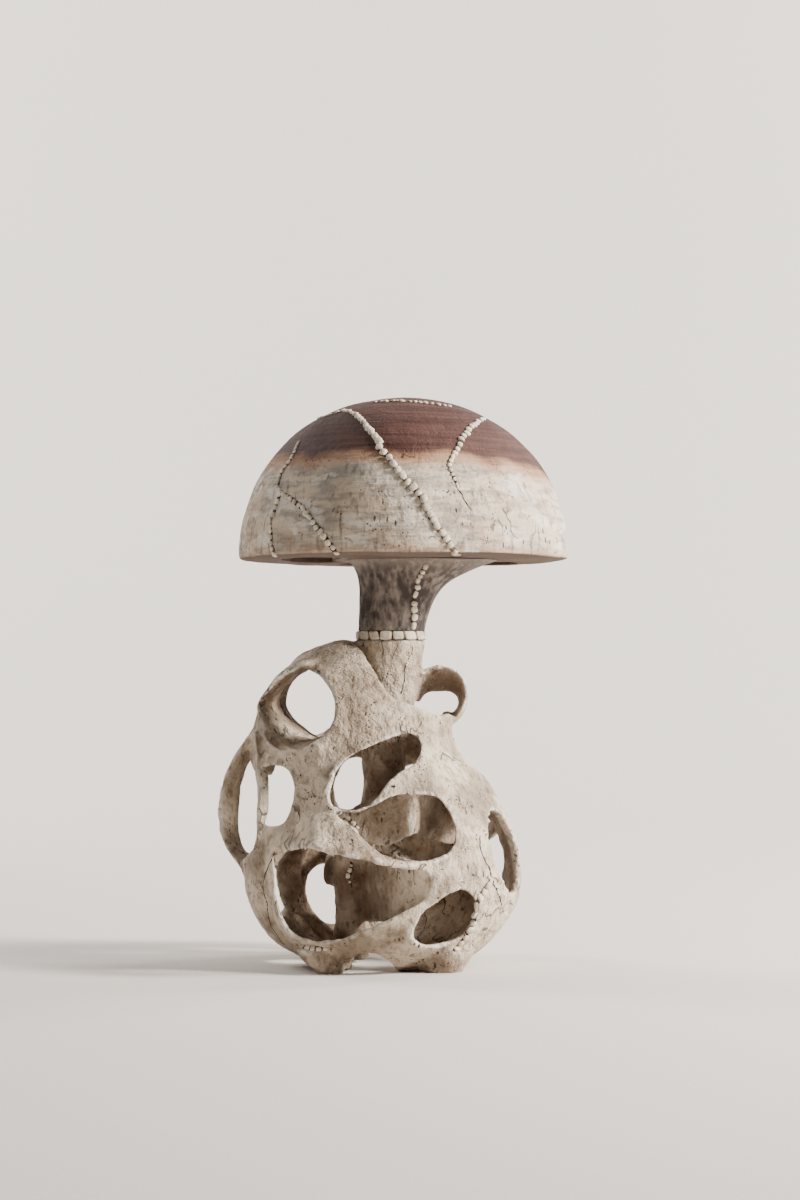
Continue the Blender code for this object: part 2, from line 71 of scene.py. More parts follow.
MM = 0.001
SAME_PLACE = 1e-6
SHARP = math.radians(50)
TINY = 1e-9

# How hollows are found for their painted shade: how far each look-out ray starts and reaches, how much less
# the height counts, and how far a point stands out from its neighbours on a full edge, for the painted
# highlight on edges
RAY_START = 0.002
RAY_REACH = 0.11
FLATTER = 0.6
EDGE_LEAN = 0.00035

# Where a seam's route steps to another surface, in metres
JUMP = 0.02

BODY = "root"
EYE = Vector((0.007, -2.96, 0.332))
EYE_TILT = math.radians(1.54)
LENS = 78.0
SENSOR = 36.0

Point = tuple[float, ...]
Ring = list[Point]
Dents = tuple[float, float, Point]
Place = tuple[Vector, Vector]


# ---------------------------------------------------------------- tools of the bench


def deselect() -> None:
    """Let go of every object, so that an operator works on one piece only."""
    if bpy.context.mode != "OBJECT":
        bpy.ops.object.mode_set(mode="OBJECT")
    for item in bpy.context.view_layer.objects:
        item.select_set(False)


def pick(item: bpy.types.Object) -> bpy.types.Object:
    """Select one object alone and make it active.

    Args:
        item: The object to work on.

    Returns:
        The same object.
    """
    deselect()
    item.select_set(True)
    bpy.context.view_layer.objects.active = item
    return item


@contextmanager
def editing(item: bpy.types.Object, select: str | None = "SELECT") -> Iterator[None]:
    """Work on a piece in edit mode, and leave that mode again.

    Args:
        item: The piece.
        select: SELECT or DESELECT, for all of it. None leaves what is selected alone.
    """
    pick(item)
    bpy.ops.object.mode_set(mode="EDIT")
    if select:
        bpy.ops.mesh.select_all(action=select)
    yield
    bpy.ops.object.mode_set(mode="OBJECT")


def put(name: str, data: Any) -> bpy.types.Object:
    """Make an object of some data and put it in the scene."""
    item = bpy.data.objects.new(name, data)
    bpy.context.scene.collection.objects.link(item)
    return item


def mesh_piece(name: str, points: Sequence[Point], edges: Sequence[tuple[int, ...]],
               faces: Sequence[tuple[int, ...]]) -> bpy.types.Object:
    """Make a piece of points, edges and faces, and put it in the scene."""
    mesh = bpy.data.meshes.new(name)
    mesh.from_pydata(points, edges, faces)
    return put(name, mesh)


def spline(points: Sequence[Point], place: float, closed: bool = False) -> Point:
    """Find a point on a smooth curve through the given points.

    Args:
        points: The points that the curve runs through, of any number of values each.
        place: How far along, where 1.5 is halfway between the second and the third point.
        closed: True where the curve comes back to its first point.

    Returns:
        The values at that place.
    """
    count = len(points)
    first = int(math.floor(place))
    if not closed:
        first = min(max(first, 0), count - 2)
    share = place - first

    def at(index: int) -> Point:
        """Return the point of an index, past either end too."""
        return points[index % count] if closed else points[min(max(index, 0), count - 1)]

    before, start, end, after = (at(first + step) for step in (-1, 0, 1, 2))
    return tuple(
        0.5 * (2 * b + (c - a) * share + (2 * a - 5 * b + 4 * c - d) * share**2
               + (3 * b - a - 3 * c + d) * share**3)
        for a, b, c, d in zip(before, start, end, after)
    )


def along(points: Sequence[Point], steps: int) -> list[Point]:
    """Return an open smooth curve through the points, with a number of steps between each two."""
    return [spline(points, index / steps) for index in range((len(points) - 1) * steps + 1)]


def closed_curve(points: Sequence[Point], steps: int) -> list[Point]:
    """Return a closed smooth curve through the points, with a number of steps between each two."""
    return [spline(points, index / steps, closed=True) for index in range(len(points) * steps)]


def level_ring(level: Point, segments: int) -> Ring:
    """Lay out an oval ring.

    Args:
        level: Its height, left, right, front and back.
        segments: How many points it has.

    Returns:
        The ring's points.
    """
    height, left, right, front, back = level
    ring = []
    for index in range(segments):
        turn = 2 * math.pi * index / segments
        ring.append(((left + right) / 2 + (right - left) / 2 * math.cos(turn),
                     (front + back) / 2 + (back - front) / 2 * math.sin(turn), height))
    return ring


def loft(name: str, rings: Sequence[Ring]) -> bpy.types.Object:
    """Join rings of points, given in millimetres, into one closed piece in metres.

    Args:
        name: The piece's name.
        rings: Rings with the same number of points each, from one end to the other.

    Returns:
        The new object, with its faces pointing out.
    """
    count = len(rings[0])
    points = [tuple(value * MM for value in point) for ring in rings for point in ring]
    faces = []
    for level in range(len(rings) - 1):
        low, high = level * count, (level + 1) * count
        for index in range(count):
            after = (index + 1) % count
            faces.append((low + index, low + after, high + after, high + index))
    faces.append(tuple(range(count))[::-1])
    faces.append(tuple(range(len(points) - count, len(points))))
    item = mesh_piece(name, points, [], faces)
    face_out(item)
    return item


def face_out(item: bpy.types.Object) -> None:
    """Turn every face of a closed piece outwards."""
    with editing(item):
        bpy.ops.mesh.remove_doubles(threshold=SAME_PLACE)
        bpy.ops.mesh.normals_make_consistent(inside=False)


def modify(item: bpy.types.Object, kind: str, **settings: Any) -> None:
    """Add a modifier to a piece and apply it.

    Args:
        item: The piece.
        kind: The modifier's type.
        settings: The modifier's own values.
    """
    pick(item)
    modifier = item.modifiers.new(kind.lower(), kind)
    for name, value in settings.items():
        setattr(modifier, name, value)
    bpy.ops.object.modifier_apply(modifier=modifier.name)


def cut(item: bpy.types.Object, cutters: Sequence[bpy.types.Object]) -> None:
    """Cut other pieces away from a piece, and throw the others away."""
    group = bpy.data.collections.new("cutters")
    bpy.context.scene.collection.children.link(group)
    for other in cutters:
        bpy.context.scene.collection.objects.unlink(other)
        group.objects.link(other)
    modify(item, "BOOLEAN", operand_type="COLLECTION", operation="DIFFERENCE", solver="EXACT",
           collection=group)
    for other in list(group.objects):
        bpy.data.objects.remove(other, do_unlink=True)
    bpy.data.collections.remove(group)


def press_on(item: bpy.types.Object, others: Sequence[bpy.types.Object]) -> None:
    """Make other pieces part of a piece, with the clay still in layers."""
    pick(item)
    for other in others:
        other.select_set(True)
    bpy.ops.object.join()


def knead(item: bpy.types.Object, size: float, height: float, seed: Point) -> None:
    """Push a piece's surface in and out a little, as fingers leave it.

    Args:
        item: The piece.
        size: The width of the dents, in metres.
        height: Their full depth, in metres.
        seed: Where the pattern starts, so that pieces differ.
    """
    clouds = bpy.data.textures.new("fingers", "CLOUDS")
    clouds.noise_scale = size
    clouds.noise_depth = 1
    anchor = put("fingers", None)
    anchor.location = seed
    bpy.context.view_layer.update()
    modify(item, "DISPLACE", texture=clouds, strength=height, mid_level=0.5, texture_coords="OBJECT",
           texture_coords_object=anchor)
    bpy.data.objects.remove(anchor)
    bpy.data.textures.remove(clouds)


def smooth_over(item: bpy.types.Object) -> None:
    """Shade a piece smooth, but for its sharp edges."""
    item.data.shade_smooth()
    item.data.set_sharp_from_angle(angle=SHARP)


def install(item: bpy.types.Object, finish: bpy.types.Material, slot: str, *nodes: str) -> None:
    """Give a finished piece its material and its place in the model.

    Args:
        item: The piece.
        finish: Its material.
        slot: The record's material slot; not used.
        nodes: The CAD nodes that it stands for.
    """
    item.data.materials.clear()
    item.data.materials.append(finish)
    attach(item, BODY)
    if nodes:
        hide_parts(*nodes)
    log.info("%s: %d faces", item.name, len(item.data.polygons))


def surface_of(item: bpy.types.Object) -> BVHTree:
    """Return a tree of a piece's surface, to lay other pieces on."""
    return BVHTree.FromPolygons([v.co.copy() for v in item.data.vertices],
                                [tuple(p.vertices) for p in item.data.polygons])


# ---------------------------------------------------------------- shader graphs


class Value:
    """A shader socket that joins to new Math nodes through ordinary arithmetic."""

    def __init__(self, graph: "Graph", socket: bpy.types.NodeSocket) -> None:
        """Keep the socket and the graph that it belongs to."""
        self.graph = graph
        self.socket = socket

    def _math(self, operation: str, *values: Any) -> "Value":
        """Return the result of one Math node on the given values."""
        return self.graph.node("ShaderNodeMath", {"operation": operation}, dict(enumerate(values)))

    def __add__(self, other: Any) -> "Value":
        """Add."""
        return self._math("ADD", self, other)

    __radd__ = __add__

    def __sub__(self, other: Any) -> "Value":
        """Subtract."""
        return self._math("SUBTRACT", self, other)

    def __rsub__(self, other: Any) -> "Value":
        """Subtract from."""
        return self._math("SUBTRACT", other, self)

    def __mul__(self, other: Any) -> "Value":
        """Multiply."""
        return self._math("MULTIPLY", self, other)

    __rmul__ = __mul__

    def maximum(self, other: Any) -> "Value":
        """Keep the larger."""
        return self._math("MAXIMUM", self, other)

    def step(self, low: float, high: float) -> "Value":
        """Return a soft step from 0 at the low value to 1 at the high value."""
        return self.graph.node("ShaderNodeMapRange", {"interpolation_type": "SMOOTHSTEP"},
                               {0: self, 1: low, 2: high, 3: 0.0, 4: 1.0})


class Graph:
    """The node graph of one material."""

    def __init__(self, name: str) -> None:
        """Start a material with a Principled shader of its own."""
        self.material = bpy.data.materials.new(name)
        self.material.use_nodes = True
        self.tree = self.material.node_tree
        self.shader = self.tree.nodes["Principled BSDF"]
        self.place = self.node("ShaderNodeTexCoord", {}, {}, "Object")

    def node(self, kind: str, settings: dict[str, Any], sockets: dict[Any, Any],
             output: Any = 0) -> Value:
        """Make a node.

        Args:
            kind: The node's type.
            settings: Its own values, which are set first.
            sockets: A value or a link for each of its sockets, by name or number.
            output: The output to return.

        Returns:
            The output, ready for arithmetic.
        """
        made = self.tree.nodes.new(kind)
        for name, value in settings.items():
            setattr(made, name, value)
        for name, value in sockets.items():
            if isinstance(value, Value):
                self.tree.links.new(value.socket, made.inputs[name])
            else:
                made.inputs[name].default_value = value
        return Value(self, made.outputs[output])

    def stretched(self, x: float, y: float, z: float) -> Value:
        """Return the place on the piece with each axis scaled."""
        return self.node("ShaderNodeMapping", {}, {"Vector": self.place, "Scale": (x, y, z)})

    def noise(self, scale: float, detail: float = 3.0, place: Value | None = None) -> Value:
        """Return a cloudy pattern from 0 to 1.

        Args:
            scale: How many lumps fit in a metre, about.
            detail: How fine it goes.
            place: Where it is read, or the plain place on the piece.

        Returns:
            The pattern.
        """
        return self.node("ShaderNodeTexNoise", {},
                         {"Vector": place or self.place, "Scale": scale, "Detail": detail}, "Fac")

    def cells(self, scale: float, place: Value | None = None) -> Value:
        """Return the distance to scattered points."""
        return self.node("ShaderNodeTexVoronoi", {}, {"Vector": place or self.place, "Scale": scale},
                         "Distance")

    def mark(self, name: str) -> Value:
        """Return a number that is stored on the piece's own mesh."""
        return self.node("ShaderNodeAttribute", {"attribute_name": name}, {}, "Fac")

    def mix(self, share: Any, first: Any, second: Any) -> Value:
        """Mix two colours."""
        return self.node("ShaderNodeMix", {"data_type": "RGBA"},
                         {0: share, 6: as_colour(first), 7: as_colour(second)}, 2)

    def height(self) -> Value:
        """Return the height on the piece, in metres."""
        return self.node("ShaderNodeSeparateXYZ", {}, {0: self.place}, "Z")

    def across(self) -> Value:
        """Return how far to the right a place is, in metres."""
        return self.node("ShaderNodeSeparateXYZ", {}, {0: self.place}, "X")

    def finish(self, colour: Value, roughness: Any, relief: Value, depth: float,
               gloss: float = 0.35) -> bpy.types.Material:
        """Join the patterns to the shader.

        Args:
            colour: What goes to Base Color.
            roughness: What goes to Roughness.
            relief: The height of the surface's relief, from 0 to 1.
            depth: How deep the relief is, in metres.
            gloss: The specular level.

        Returns:
            The finished material.
        """
        bump = self.node("ShaderNodeBump", {}, {"Height": relief, "Distance": depth, "Strength": 1.0})
        self.tree.links.new(colour.socket, self.shader.inputs["Base Color"])
        self.tree.links.new(bump.socket, self.shader.inputs["Normal"])
        if isinstance(roughness, Value):
            self.tree.links.new(roughness.socket, self.shader.inputs["Roughness"])
        else:
            self.shader.inputs["Roughness"].default_value = roughness
        self.shader.inputs["Specular IOR Level"].default_value = gloss
        return self.material


def as_colour(value: Any) -> Any:
    """Give a plain colour its fourth number, and leave a link alone."""
    return value if isinstance(value, Value) else (*value, 1.0)


# ---------------------------------------------------------------- finishes


class Finish:
    """A procedural finish that is painted in layers."""

    def make(self, name: str) -> bpy.types.Material:
        """Build the finish.

        Args:
            name: The material's name.

        Returns:
            The material.
        """
        return self.paint(Graph(name))

    def paint(self, graph: Graph) -> bpy.types.Material:
        """Join the finish's patterns to its shader, and return the material."""
        raise NotImplementedError


@dataclass(frozen=True)
class PaleClay(Finish):
    """Bare off-white stoneware: grey and cream clouds and brown specks, darker towards the ground, with
    painted shade in the hollows, the cap's painted shadow and painted highlights on the edges.
    """

    cream: Point = (0.68, 0.572, 0.445)
    grey: Point = (0.33, 0.262, 0.195)
    stain_and_shade: Point = (0.115, 0.062, 0.030)
    speck: Point = (0.05, 0.033, 0.022)
    # The pale colour of the painted highlight on convex edges
    chalk_and_highlight: Point = (0.80, 0.75, 0.67)
    # Where the cap's painted shadow greys the clay: heights that it sets in between, then the same across, in
    # metres
    cap_shadow_heights: Point = (0.20, 0.33)
    cap_shadow_across: Point = (-0.11, -0.04)
    # The clay darkens towards the ground below this height, in metres
    foot_darkening_height: float = 0.06

    def paint(self, graph: Graph) -> bpy.types.Material:
        """Layer clouds, stains, painted shade, painted highlights on the edges and specks, over a grainy
        relief.
        """
        clouds = graph.noise(15.0, 7.0).step(0.40, 0.58)
        tint = graph.mix(clouds, self.grey, self.cream)
        # Painted shadow of the cap: the upper front of the body greyed
        shade = graph.height().step(*self.cap_shadow_heights) * graph.across().step(*self.cap_shadow_across)
        tint = graph.mix(shade * 0.6, tint, self.grey)
        grain = graph.noise(210.0, 5.0, graph.stretched(1.0, 1.0, 0.5))
        tint = graph.mix(grain.step(0.50, 0.74) * 0.5, tint, self.stain_and_shade)
        ground = graph.noise(90.0, 6.0)
        tint = graph.mix(ground.step(0.48, 0.72) * 0.5, tint, self.stain_and_shade)
        # Darker towards the ground, in the stain colour
        tint = graph.mix((1.0 - graph.height().step(0.0, self.foot_darkening_height)) * 0.4, tint, self.stain_and_shade)
        # Painted highlight: convex edges and rims lightened
        tint = graph.mix(graph.mark("edge").step(0.35, 1.0) * 0.7, tint, self.chalk_and_highlight)
        # Painted shade in the hollows, in the stain colour, broken into patches
        blotch = graph.noise(36.0, 4.0).step(0.25, 0.75)
        hollow_shade = graph.mark("hollow_shade")
        tint = graph.mix((hollow_shade * (0.55 + 0.45 * blotch)).step(0.0, 1.0) * 0.92, tint, self.stain_and_shade)
        specks = self.specks(graph).maximum(self.cracks(graph) * 0.8)
        tint = graph.mix(specks * 0.85, tint, self.speck)
        relief = (graph.noise(420.0, 4.0) * 0.25 + ground * 0.8 + grain * 0.4
                  + graph.noise(34.0, 3.0) * 0.9 - specks * 0.7)
        roughness = 0.92 - graph.mark("edge") * 0.16
        return graph.finish(tint, roughness, relief, 0.0065, 0.3)

    @staticmethod
    def specks(graph: Graph) -> Value:
        """Return scattered pits of two sizes, a few of them long."""
        fine = 1.0 - graph.cells(260.0).step(0.16, 0.34)
        kept = graph.noise(55.0, 2.0).step(0.56, 0.66)
        long_place = graph.stretched(1.0, 1.0, 0.42)
        large = 1.0 - graph.cells(120.0, place=long_place).step(0.10, 0.22)
        rare = graph.noise(23.0, 2.0).step(0.55, 0.64)
        return (fine * kept).maximum(large * rare)

    @staticmethod
    def cracks(graph: Graph) -> Value:
        """Return a few hairline cracks, most of them upright."""
        wander = graph.noise(26.0, 3.0, graph.stretched(1.0, 1.0, 0.55)) - 0.5
        line = 1.0 - (wander * wander).step(0.00001, 0.00016)
        return line * graph.noise(13.0, 3.0).step(0.56, 0.60)


@dataclass(frozen=True)
class CapGlaze(Finish):
    """A dome glazed plum-brown above a tan fade, with bare scratched clay below it and painted shade inside
    it.
    """

    plum: Point = (0.046, 0.016, 0.012)
    dusk: Point = (0.088, 0.036, 0.027)
    tan: Point = (0.36, 0.19, 0.10)
    cream: Point = (0.60, 0.50, 0.39)
    chalk_and_highlight: Point = (0.82, 0.76, 0.67)
    slate: Point = (0.25, 0.235, 0.215)
    speck: Point = (0.06, 0.035, 0.024)
    # The glaze's lower edge: its height, and how it drops to the right and wanders, in metres
    line_height: float = 0.566
    drop_from: float = 0.06
    drop: float = 0.17
    wander: float = 0.032
    brush: float = 0.012
    lip: Point = (0.4615, 0.4665)

    def paint(self, graph: Graph) -> bpy.types.Material:
        """Layer bare clay below a brushed glaze line, and paint shade inside the dome."""
        wander = graph.noise(13.0, 4.0) - 0.5
        strokes = graph.noise(60.0, 6.0, graph.stretched(0.16, 0.16, 4.5))
        right = (graph.across() - self.drop_from).maximum(0.0)
        line = (graph.height() - self.line_height + right * self.drop + wander * self.wander
                + (strokes - 0.5) * self.brush)
        glazed = line.step(-0.004, 0.009)
        fading = line.step(-0.018, 0.002)
        scratches = graph.noise(150.0, 5.0, graph.stretched(1.0, 1.0, 0.16))
        clouds = graph.noise(17.0, 5.0, graph.stretched(1.0, 1.0, 1.9))
        bare = graph.mix(clouds.step(0.44, 0.74) * 0.8, self.cream, self.slate)
        layers = graph.noise(75.0, 7.0, graph.stretched(0.5, 0.5, 2.2))
        bare = graph.mix(layers.step(0.46, 0.62) * 0.6, bare, self.slate)
        chalk_and_highlight = graph.noise(31.0, 5.0, graph.stretched(0.7, 0.7, 1.8)).step(0.52, 0.62)
        bare = graph.mix(chalk_and_highlight * 0.6, bare, self.chalk_and_highlight)
        bare = graph.mix(graph.noise(24.0, 5.0).step(0.50, 0.72) * 0.36, bare, self.tan)
        worn = graph.noise(9.0, 3.0).step(0.40, 0.62)
        bare = graph.mix(graph.noise(260.0, 6.0).step(0.50, 0.70) * (0.15 + 0.4 * worn), bare, self.speck)
        bare = graph.mix(scratches.step(0.53, 0.72) * 0.55, bare, self.speck)
        lip = 1.0 - (graph.height() + wander * 0.02).step(*self.lip)
        bare = graph.mix(lip * 0.3, bare, self.tan)
        # Painted shade: the inside of the dome and its floor darkened to the speck colour
        inside = graph.mark("inside")
        bare = graph.mix(inside * 0.9, bare, self.speck)
        coat = graph.mix(strokes.step(0.36, 0.68), self.plum, self.dusk)
        coat = graph.mix(graph.noise(260.0, 3.0).step(0.60, 0.78) * 0.5, coat, self.speck)
        pale = graph.mix(fading * 0.85, bare, self.tan)
        tint = graph.mix(glazed * (1.0 - inside), pale, coat)
        specks = PaleClay.specks(graph).maximum(PaleClay.cracks(graph) * 0.8) * (1.0 - glazed * 0.75)
        tint = graph.mix(specks * 0.8, tint, self.speck)
        relief = (graph.noise(320.0, 4.0) * 0.22 + strokes * 0.35 + scratches * 0.22
                  + graph.noise(30.0, 3.0) * 0.7 - specks * 0.45)
        roughness = 0.88 - glazed * 0.2 + strokes * 0.12
        return graph.finish(tint, roughness, relief, 0.0034, 0.3)


@dataclass(frozen=True)
class DarkWash(Finish):
    """Clay brushed with a grey-mauve wash that has worn through in patches."""

    wash: Point = (0.052, 0.040, 0.037)
    worn: Point = (0.27, 0.225, 0.19)
    speck: Point = (0.04, 0.028, 0.022)
    worn_top: Point = (0.436, 0.458)

    def paint(self, graph: Graph) -> bpy.types.Material:
        """Layer the wash over the worn clay."""
        patches = graph.noise(34.0, 9.0, graph.stretched(1.0, 1.0, 0.75))
        drag = graph.noise(150.0, 7.0, graph.stretched(1.0, 1.0, 0.5))
        tint = graph.mix((patches * 0.5 + drag * 0.5).step(0.42, 0.66), self.wash, self.worn)
        top = graph.height().step(*self.worn_top)
        tint = graph.mix(top * 0.55, tint, self.worn)
        specks = PaleClay.specks(graph)
        tint = graph.mix(specks * 0.8, tint, self.speck)
        relief = graph.noise(300.0, 4.0) * 0.3 + patches * 0.8 + drag * 0.4 - specks * 0.4
        return graph.finish(tint, 0.82, relief, 0.0038, 0.35)


@dataclass(frozen=True)
class Pebble(Finish):
    """The whitish clay of the small stones pressed along the joints."""

    pale: Point = (0.78, 0.69, 0.57)
    dull: Point = (0.52, 0.44, 0.35)
    dirt_and_shade: Point = (0.10, 0.068, 0.045)

    def paint(self, graph: Graph) -> bpy.types.Material:
        """Layer pale clay and dirt, with painted shade towards the foot of each stone."""
        tint = graph.mix(graph.noise(75.0, 4.0).step(0.36, 0.62), self.dull, self.pale)
        dirt_and_shade = graph.noise(300.0, 4.0).step(0.56, 0.72)
        tint = graph.mix(dirt_and_shade * 0.5, tint, self.dirt_and_shade)
        # Painted shade: each stone darkens towards its foot, where it meets the clay
        tint = graph.mix((1.0 - graph.mark("crown").step(-0.35, 0.35)) * 0.85, tint, self.dirt_and_shade)
        relief = graph.noise(380.0, 3.0) * 0.6 + graph.noise(90.0, 2.0)
        return graph.finish(tint, 0.8, relief, 0.0009, 0.3)


@dataclass(frozen=True)
class DarkGrout(Finish):
    """The dark slip that fills the cracks and lies under the stones."""

    dark: Point = (0.05, 0.032, 0.022)
    dust: Point = (0.20, 0.145, 0.10)

    def paint(self, graph: Graph) -> bpy.types.Material:
        """Layer dust on the dark slip."""
        tint = graph.mix(graph.noise(140.0, 4.0).step(0.48, 0.66), self.dark, self.dust)
        return graph.finish(tint, 0.93, graph.noise(500.0, 3.0), 0.0006, 0.2)


@dataclass(frozen=True)
class StudioPaper(Finish):
    """The pale floor and backdrop."""

    pale: Point = (0.66, 0.62, 0.58)

    def paint(self, graph: Graph) -> bpy.types.Material:
        """Vary the paper a little."""
        deep = tuple(value * 0.97 for value in self.pale)
        tint = graph.mix(graph.noise(1.2, 2.0), deep, self.pale)
        return graph.finish(tint, 0.9, graph.noise(180.0, 2.0), 0.0002, 0.2)


class Slot(Enum):
    """The record's material slots."""

    PALE_CLAY = "pale_clay"
    DARK_WASH = "dark_wash"
    PLUM_GLAZE = "plum_glaze"
    WHITE_STONE = "white_stone"


# ---------------------------------------------------------------- the openwork body


